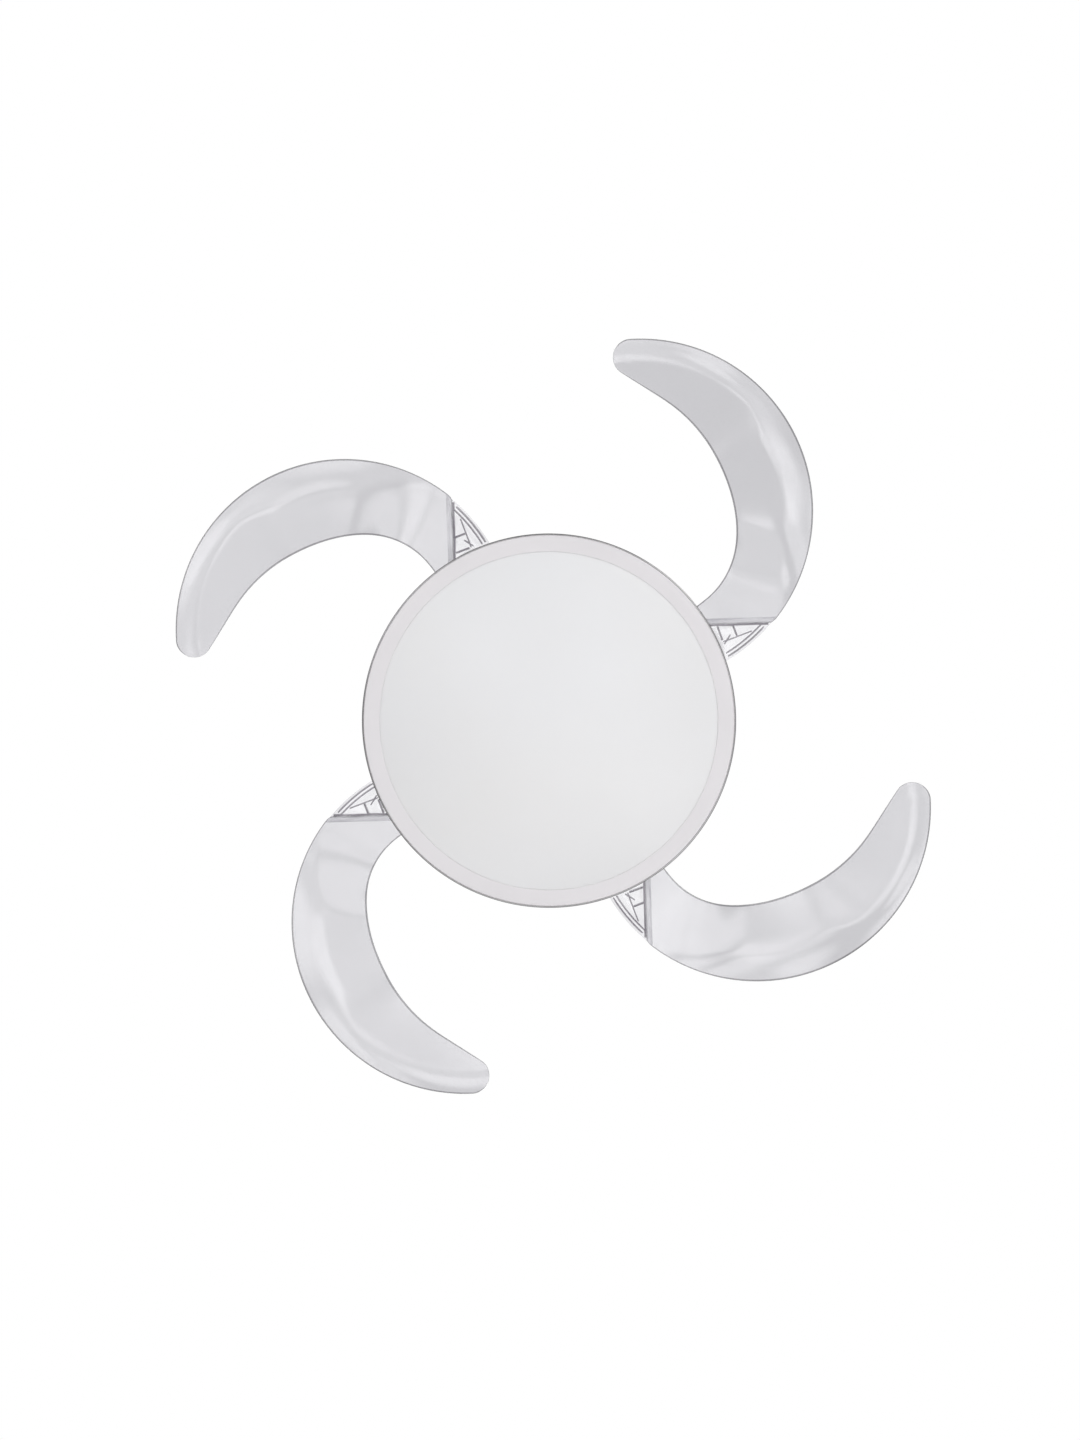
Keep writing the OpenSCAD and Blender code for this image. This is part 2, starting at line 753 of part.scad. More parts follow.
// Torsion springs round the arms' bosses, swept along a helix with a leg at each end
spring_turns = 2;
spring_steps = 20;
spring_z = panel_z + spring_wire / 2 + 0.4;
spring_rise = spring_wire + 0.35;
spring_a = -20;

function spring_point(i) = let (n = spring_turns * spring_steps, u = i / spring_steps)
    i < 0 ? concat(polar(spring_r + 7, spring_a - 26), spring_z)
    : i > n ? concat(polar(spring_r, spring_a + 18), spring_z + spring_turns * spring_rise)
    : concat(polar(spring_r, spring_a + 360 * u), spring_z + spring_rise * u);

// Sweeps a round wire along the points that f gives
module torsion_spring() {
    sides = 6;
    n = spring_turns * spring_steps;
    path = [for (i = [-1:n + 1]) spring_point(i)];
    last = len(path) - 1;
    dirs = [for (i = [0:last]) let (a = path[max(0, i - 1)], b = path[min(last, i + 1)])
        (b - a) / norm(b - a)];
    pts = [for (i = [0:last])
        let (d = dirs[i], flat = cross(d, [0, 0, 1]), side = flat / norm(flat), up = cross(side, d))
        for (j = [0:sides - 1]) let (a = 360 * j / sides)
            path[i] + spring_wire / 2 * (side * cos(a) + up * sin(a))];
    ends = [[for (j = [0:sides - 1]) j], [for (j = [sides - 1:-1:0]) last * sides + j]];
    walls = [for (i = [0:last - 1], j = [0:sides - 1]) let (a = i * sides + j,
        b = i * sides + (j + 1) % sides) for (f = [[a, a + sides, b], [b, a + sides, b + sides]]) f];
    polyhedron(points = pts, faces = concat(ends, walls));
}

module return_springs() {
    color(chrome) pivots() torsion_spring();
}

// C-shaped guides that hold the ring's inner edge
module ring_guides() {
    lip = 4;
    back = 9;
    color(white) for (i = [0:7]) turned_arc([
        [ring_in - back, carrier_z], [ring_in + lip, carrier_z],
        [ring_in + lip, carrier_z + ring_z - 0.1], [ring_in - gap, carrier_z + ring_z - 0.1],
        [ring_in - gap, carrier_z + ring_z + ring_t + 0.1],
        [ring_in + lip, carrier_z + ring_z + ring_t + 0.1],
        [ring_in + lip, carrier_z + ring_z + ring_t + 1.6],
        [ring_in - back, carrier_z + ring_z + ring_t + 1.6]], 45 * i + 16.5, 12);
}

// One involute tooth of an external gear, pointing along +X
module tooth(pitch_r) {
    base_r = pitch_r * cos(pressure);
    root = pitch_r - dedendum;
    tip = pitch_r + addendum;
    steps = 4;
    function inv(r) = let (a = acos(min(1, base_r / r))) tan(a) * 180 / PI - a;
    half = 90 / (2 * pitch_r / gear_m) - backlash / pitch_r * 90 / PI;
    function flank(r) = half + inv(pitch_r) - inv(max(r, base_r));
    radii = [for (i = [0:steps]) mix(max(root, base_r), tip, i / steps)];
    foot = root - 0.6;                       // sunk into the rim below the tooth
    polygon(concat([polar(foot, -half * 1.5)],
        [for (r = radii) polar(r, -flank(r))],
        [for (i = [steps:-1:0]) polar(radii[i], flank(radii[i]))],
        [polar(foot, half * 1.5)]));
}

module sync_ring() {
    pitch_a = 360 / ring_teeth;
    first = ceil((-ring_swing - ring_margin) / pitch_a);
    last = floor(ring_margin / pitch_a);
    color(steel) translate([0, 0, carrier_z + ring_z]) {
        difference() {
            cylinder(r = ring_root, h = ring_t, $fn = 180);
            translate([0, 0, -1]) cylinder(r = ring_in, h = ring_t + 2, $fn = 180);
        }
        for (q = [0:3]) linear_extrude(ring_t)
            for (i = [first:last]) rotate([0, 0, 90 * q + i * pitch_a]) tooth(ring_pr);
    }
}

// ---------- blades, drawn folded: the blade runs clockwise from its pivot ----------

// Arm with its gear sector: drawn in the open position about the pivot, then folded back
module arm_shape() {
    pitch_a = 360 / arm_teeth;
    first = ceil((sector_from - 180 + 3) / pitch_a - 0.5);
    last = floor((sector_to - 180 - 3) / pitch_a - 0.5);
    root = arm_pr - dedendum;
    linear_extrude(arm_t) {
        for (i = [first:last]) rotate([0, 0, 180 + (i + 0.5) * pitch_a]) tooth(arm_pr);
        intersection() {
            circle(r = root);
            polygon(concat([[0, 0]], [for (i = [0:6])
                polar(80, mix(sector_from, sector_to, i / 6))]));
        }
        circle(r = 24);
    }
    // Lobe that the blade's root is screwed to
    for (a = lobe_dirs) linear_extrude(arm_t) {
        translate(polar(lobe_at, a + swing)) circle(r = lobe_r);
        rotate([0, 0, a + swing]) translate([0, -lobe_neck / 2]) square([lobe_at, lobe_neck]);
    }
}

lobe_at = 33;
lobe_r = 8;
lobe_neck = 15;                              // narrower than the lobe, so that the outlines cross
lobe_dirs = [212, 247, 282];                 // directions of the screws, blade folded

module blade_arm(k) {
    root = arm_pr - dedendum;
    color(alloy) rotate([0, 0, 90 * (k - 1)]) translate([pivot_r, 0, carrier_z + arm_z])
        difference() {
            union() {
                arm_shape();
                rod(hub_boss, 0, pin_top - 3.2 - arm_z - 0.1);
            }
            rod(bush_r + run_gap, -1, pin_top);
            // Lightening slots in the sector
            for (i = [0:2]) rotate([0, 0, mix(sector_from, sector_to, (i + 0.5) / 3) - 11])
                rotate_extrude(angle = 22) translate([30, -1]) square([root - 37, arm_t + 2]);
            for (a = lobe_dirs) rotate([0, 0, a + swing]) translate([lobe_at, 0, -1])
                cylinder(r = 2.1, h = arm_t + 2);
        }
}

// Curve from value v0 to v1 over length h with slopes m0 and m1 at its ends, t from 0 to 1
function hermite(v0, m0, v1, m1, h, t) = v0 * (1 + 2 * t) * pow(1 - t, 2) + v1 * (3 - 2 * t) * t * t
    + h * t * (1 - t) * (m0 * (1 - t) - m1 * t);

// Width of the folded blade at angle a round the fan
function narrowing(a) = blade_w * cos(blade_narrow * (a - wide_a));
function blade_width(a) = a < neck_a
    ? blade_root_w - corner_taper * pow((neck_a - a) / (neck_a - root_in_a), 2)
    : a < wide_a
    ? mix(blade_root_w, blade_w, (1 + cos(180 * (wide_a - a) / (wide_a - neck_a))) / 2)
    : a < bend_a ? narrowing(a)
    : hermite(narrowing(bend_a),
        -blade_w * blade_narrow * sin(blade_narrow * (bend_a - wide_a)) * PI / 180,
        arc_r - tip_join_r, -tip_join_r * tan(blade_tip_side) * PI / 180,
        tip_join_a - bend_a, (a - bend_a) / (tip_join_a - bend_a));

arc_steps = 40;
tip_steps = 7;
across = 9;
web_rows = 5;                                // rows of faces in the web, the others are the lip's
lip_min = 0.25;                              // least share of the width that the lip's rows take
ramp_span = 36;                              // degrees from the root over which bend and slopes grow
lip_turn_a = 97;                             // the lip narrows from here
climb_ease = 15;                             // degrees over which the climb starts
tip_end = 2;                                 // half of the short last edge, in degrees of the tip

// Inner and outer edge of the sheet; y is positive along the blade here and is mirrored later
function edge_angle(i) = ((180 - blade_tip_side) / 2 - tip_end) * (i - arc_steps) / tip_steps;
function outer_edge(i) = i <= arc_steps
    ? polar(arc_r, mix(root_out_a, blade_tip_a, i / arc_steps))
    : tip_centre + polar(blade_tip_r, blade_tip_a + edge_angle(i));
function inner_edge(i) = i <= arc_steps
    ? let (a = mix(root_in_a, tip_join_a, i / arc_steps)) polar(arc_r - blade_width(a), a)
    : tip_centre + polar(blade_tip_r, blade_tip_a + 180 - blade_tip_side - edge_angle(i));

// Width of the lip at angle a: it widens from the root's corner and narrows again towards the tip
function lip_at(a) = mix(lip_root_w, mix(lip_w, lip_tip_w, smooth((a - lip_turn_a) / 20)),
    smooth((a - root_out_a) / ramp_span));

// Rise of the sheet at distance s from its outer edge, with a lip b wide
function lift(s, b) = s < b
    ? lip_slope * s + 4 * lip_bow * (s / b) * (1 - s / b)
    : lip_slope * b + web_slope * (s - b);

// Height of the sheet's lower face above the carrier
function sheet_z(p) = let (
        a = atan2(p[1], p[0]),
        d = a - root_out_a,
        rise = d < 0 ? 0 : d < climb_ease ? blade_climb * d * d / (2 * climb_ease)
            : blade_climb * (d - climb_ease / 2),
        ramp = smooth((d + 3) / (ramp_span + 3)) * (1 - 0.3 * smooth((a - 110) / 60)))
    panel_z + rise + ramp * lift(arc_r - norm(p), lip_at(a));

// Share of the blade's width, from the inner edge, at row j of the sheet: one row follows the bend
function row_share(i, j) = let (
        p = inner_edge(i),
        q = outer_edge(i),
        a = atan2(q[1], q[0]),
        bend = 1 - clamp01(max(lip_at(a), lip_min * norm(q - p)) / norm(q - p)))
    j <= web_rows ? bend * j / web_rows : mix(bend, 1, (j - web_rows) / (across - web_rows));

module blade_panel(k) {
    n = arc_steps + tip_steps;
    row = across + 1;
    layer = (n + 1) * row;
    low = [for (i = [0:n], j = [0:across])
        let (p = mix(inner_edge(i), outer_edge(i), row_share(i, j))) [p[0], -p[1], sheet_z(p)]];
    high = [for (p = low) p + [0, 0, blade_t]];
    function at(i, j) = i * row + j;
    floor_f = [for (i = [0:n - 1], j = [0:across - 1])
        let (a = at(i, j), b = at(i, j + 1), c = at(i + 1, j + 1), d = at(i + 1, j))
        for (f = [[a, c, d], [a, b, c]]) f];
    roof_f = [for (f = floor_f) [f[0] + layer, f[2] + layer, f[1] + layer]];
    rim = concat([for (i = [0:n]) at(i, 0)], [for (j = [1:across]) at(n, j)],
        [for (i = [n - 1:-1:0]) at(i, across)], [for (j = [across - 1:-1:1]) at(0, j)]);
    m = len(rim);
    wall_f = [for (i = [0:m - 1]) let (a = rim[i], b = rim[(i + 1) % m])
        for (f = [[a, b, b + layer], [a, b + layer, a + layer]]) f];
    color(clear) blade_place(k)
        polyhedron(points = concat(low, high), faces = concat(floor_f, roof_f, wall_f));
}

root_rim = arc_r - 2;
overlap = 9;                                 // sheet lying on the root's plate
rib_r = [root_rim - 5, root_rim - 10.5];     // the two curved ribs along the outer rim
rim_rib_a = 3.1 - root_out_a;                // where they start, in the folded plan
rim_rib_span = -11.5 - rim_rib_a;
thin_rib = 1.2;
cross_rib_h = rib_h - 0.4;
low_rib_h = rib_h - 0.8;                     // height of the thin ribs

// A straight rib, t thick and h high, between two points of the folded plan
module rib(p, q, t, h) {
    d = q - p;
    translate([p[0], -p[1], root_t - eps]) rotate([0, 0, -atan2(d[1], d[0])])
        translate([0, -t / 2, 0]) cube([norm(d), t, h + eps]);
}

// Point on the line where root and sheet meet, y along the blade
function on_line(y, off = 0) = [line_x + root_slope * y + off / cos(root_skew), y];

module root_outline() {
    intersection() {
        circle(r = root_rim);
        union() {
            mirror([0, 1]) polygon([on_line(-4, -overlap), on_line(140, -overlap), [pivot_r + 60, 140],
                [pivot_r + 60, -8], [pivot_r, -22], on_line(-10, 6)]);
            translate([pivot_r, 0]) circle(r = 24);
        }
    }
}

module blade_root(k) {
    color(clear) blade_place(k) translate([0, 0, root_z]) difference() {
        union() {
            linear_extrude(root_t) root_outline();
            intersection() {
                linear_extrude(root_t + rib_h + 1) root_outline();
                union() {
                    rib(on_line(14, 1.2), on_line(root_out_y - 7.7, 1.2), rib_t, rib_h);
                    rib([pivot_r - 31, 51.5], [pivot_r - 10, 51.5], rib_t, cross_rib_h);
                    rib([pivot_r - 25.5, 74], [pivot_r - 8.5, 74], rib_t, cross_rib_h);
                    rib([pivot_r - 7, 52], [pivot_r - 7, 97], thin_rib, low_rib_h);
                    rib([pivot_r - 3.2, 52.5], [pivot_r - 13.1, 65], thin_rib, low_rib_h);
                    for (r = rib_r) turned_arc([
                        [r - thin_rib / 2, root_t - eps], [r + thin_rib / 2, root_t - eps],
                        [r + thin_rib / 2, root_t + low_rib_h],
                        [r - thin_rib / 2, root_t + low_rib_h]], rim_rib_a, rim_rib_span);
                }
            }
            // Lug that the return spring presses on
            translate([pivot_r, 0, 0]) rotate([0, 0, -swing + spring_a - 26 - 7])
                translate([spring_r + 3, -1.5, root_t - eps]) cube([5, 3, 3]);
        }
        translate([pivot_r, 0, -1]) cylinder(r = hub_boss + 0.1, h = 20);
        for (a = lobe_dirs) translate([pivot_r, 0, 0]) rotate([0, 0, a])
            translate([lobe_at, 0, -1]) cylinder(r = 2.2, h = root_t + 2);
    }
}

module blade_screws(k) {
    color(steel) blade_place(k) for (a = lobe_dirs) translate([pivot_r, 0, root_z + root_t])
        rotate([0, 0, a]) translate([lobe_at, 0, 0]) screw(2, root_t + arm_t, 3.6, 2);
}

// ---------- light ----------

pan_r = disc_r - 3.6;                        // outside of the pan's wall
trim_r = disc_r;
bezel_r = pan_r;                             // outside of the white ring
opening_r = bezel_r - bezel_w;
dome_r = opening_r - 1.5;
board_out = opening_r - 18;
board_in = 104;
board_t = 1.6;
pan_screw_at = 50;
pan_screw_a = 30;
skirt_r = pan_r - pan_t - 2.5;               // outside of the white ring's skirt

module pan_bracket() {
    color(steel) difference() {
        rod(60, pan_top, pan_top + plate_t);
        rod(thread_r + 0.15, pan_top - 1, pan_top + plate_t + 1);
        around(3, pan_screw_at, pan_screw_a) rod(2.6, pan_top - 1, pan_top + plate_t + 1);
        around(3, 30, 90) rod(6, pan_top - 1, pan_top + plate_t + 1);
    }
}

module light_pan() {
    color(white) difference() {
        turned([[thread_r + 0.15, pan_top], [pan_r - 6, pan_top], [pan_r, pan_top - 6],
            [pan_r, pan_low], [pan_r - pan_t, pan_low], [pan_r - pan_t, pan_top - 6],
            [pan_r - 6 - pan_t / 2, pan_top - pan_t], [thread_r + 0.15, pan_top - pan_t]]);
        around(3, pan_screw_at, pan_screw_a) rod(2.6, pan_top - 5, pan_top + 1);
    }
}

module pan_screws() {
    color(steel) around(3, pan_screw_at, pan_screw_a) translate([0, 0, pan_top - pan_t])
        rotate([180, 0, 0]) screw(2.5, pan_t + plate_t, 4.6, 2.4);
}

module shaft_nut() {
    nut_h = 6;
    color(chrome) difference() {
        translate([0, 0, pan_top - pan_t - nut_h]) cylinder(r = 11, h = nut_h, $fn = 6);
        rod(thread_r + 0.05, pan_top - 20, pan_top);
    }
}

// Polished band round the pan, rolled in at its lower edge
module trim_ring() {
    steps = 6;
    lip = trim_r - pan_r - gap;
    color(chrome) turned(concat([[trim_r, pan_top - 6]],
        [for (i = [0:steps]) let (a = 90 * i / steps)
            [trim_r - lip + lip * cos(a), pan_low - lip * sin(a)]],
        [[trim_r - lip, pan_top - 6]]));
}

module led_board() {
    rings = [[118, 24], [160, 32], [205, 44]];
    z = pan_top - pan_t - board_t;
    color(white) {
        tube(board_out, board_in, z, z + board_t);
        for (q = rings) around(q[1], q[0]) translate([-2.5, -2.5, z - 1.2]) cube([5, 5, 1.2]);
    }
}

module led_driver() {
    size = [124, 42, 19];
    z = pan_top - pan_t - size[2];
    color(white) translate([-size[0] / 2, 34, z]) difference() {
        cube(size);
        for (i = [0:5]) translate([26 + 14 * i, -1, -1]) cube([4, size[1] + 2, 2.2]);
    }
}

// Opal dome with a flat flange that lies on the white ring
module diffuser() {
    seat = bezel_low + bezel_t + 0.1;
    rim = seat + dome_t;
    drop = seat - dome_low;
    ball = (dome_r * dome_r + drop * drop) / (2 * drop);
    cz = dome_low + ball;
    steps = 24;
    outer = [for (i = [0:steps]) let (a = asin(dome_r / ball) * i / steps)
        [ball * sin(a), cz - ball * cos(a)]];
    inner = [for (i = [steps:-1:0]) let (a = asin((dome_r - dome_t) / ball) * i / steps)
        [ball * sin(a), cz + dome_t - ball * cos(a)]];
    color(opal) turned(concat(outer, [[dome_r + 9, seat], [dome_r + 9, rim]], inner));
}

// Flat white ring that carries the dome
module bezel_ring() {
    edge = 2;
    steps = 5;
    top = bezel_low + bezel_t;
    color(white) turned(concat([[opening_r, top], [opening_r, bezel_low + 1],
        [opening_r + 1, bezel_low]],
        [for (i = [0:steps]) let (a = -90 + 90 * i / steps)
            [bezel_r - edge + edge * cos(a), bezel_low + edge + edge * sin(a)]],
        [[bezel_r, top], [skirt_r, top], [skirt_r, top + 12], [skirt_r - 1.8, top + 12],
         [skirt_r - 1.8, top]]));
}

// Leaf springs that hold the white ring's skirt in the pan
module bezel_clips() {
    top = bezel_low + bezel_t;
    color(chrome) around(6, skirt_r + 0.1, 15) translate([0, -7, top + 2])
        difference() {
            cube([2, 14, 9]);
            translate([0.6, -1, 1]) cube([0.8, 16, 7]);
        }
}

// ---------- drawing ----------

hanger_bracket();
canopy();
canopy_screws();
receiver_box();
terminal_block();
ball_seat();
hanger_ball();
ball_pin();
downrod();
coupler();
coupler_pin();
coupler_clip();
coupler_set_screws();
coupler_cover();
motor_cover();
cover_screws();
motor_shaft();
stator_core();
stator_windings();
shaft_nut();
pan_bracket();
light_pan();
pan_screws();
trim_ring();
led_board();
led_driver();
diffuser();
bezel_ring();
bezel_clips();
rotor_housing_upper();
rotor_housing_lower();
rotor_ring();
rotor_magnets();
bearings();
housing_screws();
carrier_plate();
carrier_screws();
pivot_pins();
pivot_bushes();
pivot_clips();
stop_bumpers();
return_springs();
ring_guides();
sync_ring();
for (k = [1:4]) {
    blade_panel(k);
    blade_root(k);
    blade_arm(k);
    blade_screws(k);
}
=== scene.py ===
"""Finishes, smooth pieces and studio for a ceiling fan whose clear blades fold over its light."""

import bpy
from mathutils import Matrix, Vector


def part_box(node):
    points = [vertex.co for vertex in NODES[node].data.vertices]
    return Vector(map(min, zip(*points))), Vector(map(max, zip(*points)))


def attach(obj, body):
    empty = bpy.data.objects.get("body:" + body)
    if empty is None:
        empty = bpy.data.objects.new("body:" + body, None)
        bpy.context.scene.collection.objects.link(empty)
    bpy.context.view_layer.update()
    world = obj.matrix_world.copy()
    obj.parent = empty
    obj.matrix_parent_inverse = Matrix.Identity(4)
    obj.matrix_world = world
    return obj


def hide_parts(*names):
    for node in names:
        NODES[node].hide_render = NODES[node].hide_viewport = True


bl_info = {
    "name": "Retractable blade ceiling fan",
    "version": (1, 0, 0),
    "blender": (4, 5, 0),
    "location": "3D View > Sidebar > Fan",
    "description": "Finishes, smooth pieces and studio for a ceiling fan with folding clear blades",
    "category": "Object",
}

import math

import bpy
from mathutils import Vector

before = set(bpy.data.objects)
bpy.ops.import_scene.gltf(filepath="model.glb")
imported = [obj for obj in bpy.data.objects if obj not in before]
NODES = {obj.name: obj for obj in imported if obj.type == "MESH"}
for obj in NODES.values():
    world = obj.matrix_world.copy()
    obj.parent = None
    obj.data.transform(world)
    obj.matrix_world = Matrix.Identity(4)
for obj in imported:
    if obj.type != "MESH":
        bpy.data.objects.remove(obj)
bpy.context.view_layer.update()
BLADES = range(1, 5)

# shapes, in metres
MERGE = 2e-6  # corners nearer than this are one
BAND_GAP = 0.0003  # between the white ring and the polished band
LIP_REACH = 0.0012  # how far the white ring's face reaches over the polished band
PLATE_TOP = 0.0026  # a blade root's ribs stand on its plate, this far above its lowest point
CHIP_TALL = 0.0011  # the light's chips stand this far below its board
RIM_ANGLE = math.radians(60.0)  # least angle between a sheet's face and its rim
LEVEL = 0.5  # least height of the normal of a sheet's upper or lower face

# sockets of a Mix node that mixes colours
MIX_A, MIX_B, MIX_RESULT = 6, 7, 2

# Lamps below the camera that shine straight up, so that the blades mirror them: name, X, Y, size,
# radiance, share of the radius that is fully lit, and whether the lamp is a card for mirrors alone
LOW_LAMPS = (
    ("near", 0.05, 1.0, 1.4, 1.9, 0.3, False),
    ("root_left", -0.3, -0.7, 0.75, 1.7, 0.3, False),
    ("root_side", -0.8, 0.1, 0.75, 1.4, 0.3, False),
    ("root_up", 0.5, 0.0, 0.6, 0.8, 0.3, False),
    ("rim", 1.1, 0.35, 1.2, 2.1, 0.3, False),
    ("inner", 0.9, -0.3, 1.1, 1.4, 0.3, False),
    ("tip", 0.9, -1.05, 0.95, 1.8, 0.3, False),
    ("centre", 0.05, -0.15, 0.85, 1.5, 0.3, False),
    ("left", -0.9, -1.1, 1.4, 1.9, 0.3, False),
    ("low", -1.0, -0.6, 1.2, 0.4, 0.5, False),
    ("side", -1.25, 0.45, 1.0, 1.2, 0.3, False),
    ("mid", -0.7, 0.95, 1.2, 0.6, 0.5, False),
    ("web", 0.1, 0.4, 1.6, 0.45, 0.5, False),
    ("base", -1.0, 1.4, 5.0, 0.6, 0.65, True),
    ("far_right", 1.1, 1.95, 2.6, 1.9, 0.45, True),
    ("far_side", -2.2, 1.9, 2.7, 1.3, 0.55, True),
    ("far_left", -1.9, -2.2, 2.4, 1.5, 0.4, True),
    ("high", 1.6, -1.7, 2.2, 0.7, 0.5, True),
    ("top", -0.4, -1.7, 1.6, 1.5, 0.4, True),
    ("bottom", -0.5, 1.8, 1.9, 0.5, 0.4, True),
    ("lip_right", 1.5, -0.45, 1.2, 1.8, 0.3, True),
)
LAMP_DEPTH = 0.06  # of the first of them, below the camera
LAMP_STEP = 0.004  # each lies this much lower than the last, so that a mirror shows them all


# ---------- what a user may change ----------


class FanSizes(bpy.types.PropertyGroup):
    """Sizes of the finish; every other size comes from the frame"""

    rim_round: bpy.props.FloatProperty(
        name="Blade rim",
        description="Rounding of the clear sheet's polished rim",
        default=0.0004,
        min=0.0001,
        unit="LENGTH",
    )
    bend_round: bpy.props.FloatProperty(
        name="Blade bend",
        description="Rounding of the bend between a blade's web and its lip",
        default=0.0009,
        min=0.0001,
        unit="LENGTH",
    )
    rib_round: bpy.props.FloatProperty(
        name="Rib edges",
        description="Rounding of the moulded roots' edges",
        default=0.0002,
        min=0.00005,
        unit="LENGTH",
    )
    rib_swell: bpy.props.FloatProperty(
        name="Rib swell",
        description="How far the clear ribs look wider than they are, as a lens shows them",
        default=0.0005,
        min=0.0,
        unit="LENGTH",
    )
    steps: bpy.props.IntProperty(
        name="Steps",
        description="Faces round a turned piece",
        default=180,
        min=48,
    )


class FanColours(bpy.types.PropertyGroup):
    """Colours of the finishes, linear"""

    powder: bpy.props.FloatVectorProperty(
        name="Powder coat",
        description="White coat of canopy, covers and pan",
        default=(0.84, 0.84, 0.85),
        subtype="COLOR",
    )
    moulding: bpy.props.FloatVectorProperty(
        name="Moulding",
        description="White moulded plastic, with a trace of pink",
        default=(0.72, 0.7, 0.715),
        subtype="COLOR",
    )
    opal: bpy.props.FloatVectorProperty(
        name="Opal",
        description="Satin opal acrylic of the dome",
        default=(0.84, 0.84, 0.85),
        subtype="COLOR",
    )
    clear: bpy.props.FloatVectorProperty(
        name="Clear sheet",
        description="Tint that the clear blades give to what is behind them",
        default=(0.59, 0.585, 0.61),
        subtype="COLOR",
    )
    root: bpy.props.FloatVectorProperty(
        name="Clear root",
        description="Tint of the moulded roots' plates",
        default=(0.74, 0.735, 0.755),
        subtype="COLOR",
    )
    # Painted highlight: the bend is tinted lighter than the rest of the same sheet so that a light
    # line runs along it
    bend: bpy.props.FloatVectorProperty(
        name="Sheet bend",
        description="Tint of the narrow bend, which gathers light",
        default=(0.67, 0.665, 0.69),
        subtype="COLOR",
    )
    # Painted shade: the rim faces get this dark tint so that each blade's outline shows as a thin
    # dark line
    rim: bpy.props.FloatVectorProperty(
        name="Sheet rim",
        description="Tint of the sheet's rim, where light has come a long way through it",
        default=(0.26, 0.255, 0.27),
        subtype="COLOR",
    )
    # Painted shade: the ribs are as clear as the plate, and this nearly black tint paints the dark
    # lines they show
    rib: bpy.props.FloatVectorProperty(
        name="Ribs",
        description="Tint of the ribs on the blades' roots",
        default=(0.014, 0.01, 0.018),
        subtype="COLOR",
    )
    # Partly painted reflection: the band is real polished metal, and its dark colour paints the
    # dark surroundings it mirrors
    trim_painted_dark: bpy.props.FloatVectorProperty(
        name="Trim",
        description="Polished dark band round the light",
        default=(0.24, 0.236, 0.24),
        subtype="COLOR",
    )


class FanStage(bpy.types.PropertyGroup):
    """Camera, fill light and floor"""

    camera_at: bpy.props.FloatVectorProperty(
        name="Camera",
        description="Place of the camera, below the fan",
        default=(0.1664, -0.0429, -3.2859),
        subtype="TRANSLATION",
        unit="LENGTH",
    )
    camera_turn: bpy.props.FloatVectorProperty(
        name="Camera turn",
        description="Turn of the camera about X, Y and Z",
        default=(math.radians(178.007), math.radians(-2.832), math.radians(23.558)),
        subtype="EULER",
    )
    focal: bpy.props.FloatProperty(
        name="Focal length",
        description="Focal length for a picture 36 mm high",
        default=50.0,
        subtype="DISTANCE_CAMERA",
    )
    floor_z: bpy.props.FloatProperty(
        name="Floor",
        description="Height of the floor, counted from the ceiling",
        default=-3.6,
        unit="LENGTH",
    )
    fill: bpy.props.FloatProperty(
        name="Fill",
        description="Light that comes evenly from all round",
        default=0.75,
        min=0.0,
    )


# ---------- nodes ----------


def put(tree, kind, inputs=(), **settings):
    """Adds a shader node; inputs maps its sockets to values or to the sockets that feed them"""
    made = tree.nodes.new("ShaderNode" + kind)
    for key, value in settings.items():
        setattr(made, key, value)
    for key, value in dict(inputs).items():
        if isinstance(value, bpy.types.NodeSocket):
            tree.links.new(value, made.inputs[key])
        else:
            made.inputs[key].default_value = value
    return made


def maths(tree, operation, first, second, **settings):
    """The result of a Math node"""
    return put(tree, "Math", {0: first, 1: second}, operation=operation, **settings).outputs[0]


def measure(tree, operation, first, second=(0.0, 0.0, 0.0)):
    """The number that a Vector Math node gives"""
    made = put(tree, "VectorMath", {0: first, 1: second}, operation=operation)
    return made.outputs["Value"]


def remap(tree, value, low=0.0, high=1.0, to_low=0.0, to_high=1.0, **settings):
    """The value, with the range from low to high carried into to_low to to_high"""
    inputs = {
        "Value": value,
        "From Min": low,
        "From Max": high,
        "To Min": to_low,
        "To Max": to_high,
    }
    return put(tree, "MapRange", inputs, **settings).outputs[0]


def mix(tree, mask, low, high):
    """A colour that runs with a mask from low to high, which are colours or sockets"""
    made = put(tree, "Mix", {"Factor": mask}, data_type="RGBA")
    for socket, colour in ((MIX_A, low), (MIX_B, high)):
        if isinstance(colour, bpy.types.NodeSocket):
            tree.links.new(colour, made.inputs[socket])
        else:
            made.inputs[socket].default_value = (*colour, 1.0)
    return made.outputs[MIX_RESULT]


def object_place(tree):
    """The place on the piece itself"""
    return put(tree, "TexCoord").outputs["Object"]


# ---------- effects that the materials share ----------


def new_group(name, takes, gives):
    """A node group with its inputs, (name, kind, value), and its outputs, (name, kind)"""
    tree = bpy.data.node_groups.new(name, "ShaderNodeTree")
    for label, kind, value in takes:
        socket = tree.interface.new_socket(label, in_out="INPUT", socket_type=kind)
        socket.default_value = value
    for label, kind in gives:
        tree.interface.new_socket(label, in_out="OUTPUT", socket_type=kind)
    return tree, tree.nodes.new("NodeGroupInput").outputs, tree.nodes.new("NodeGroupOutput")


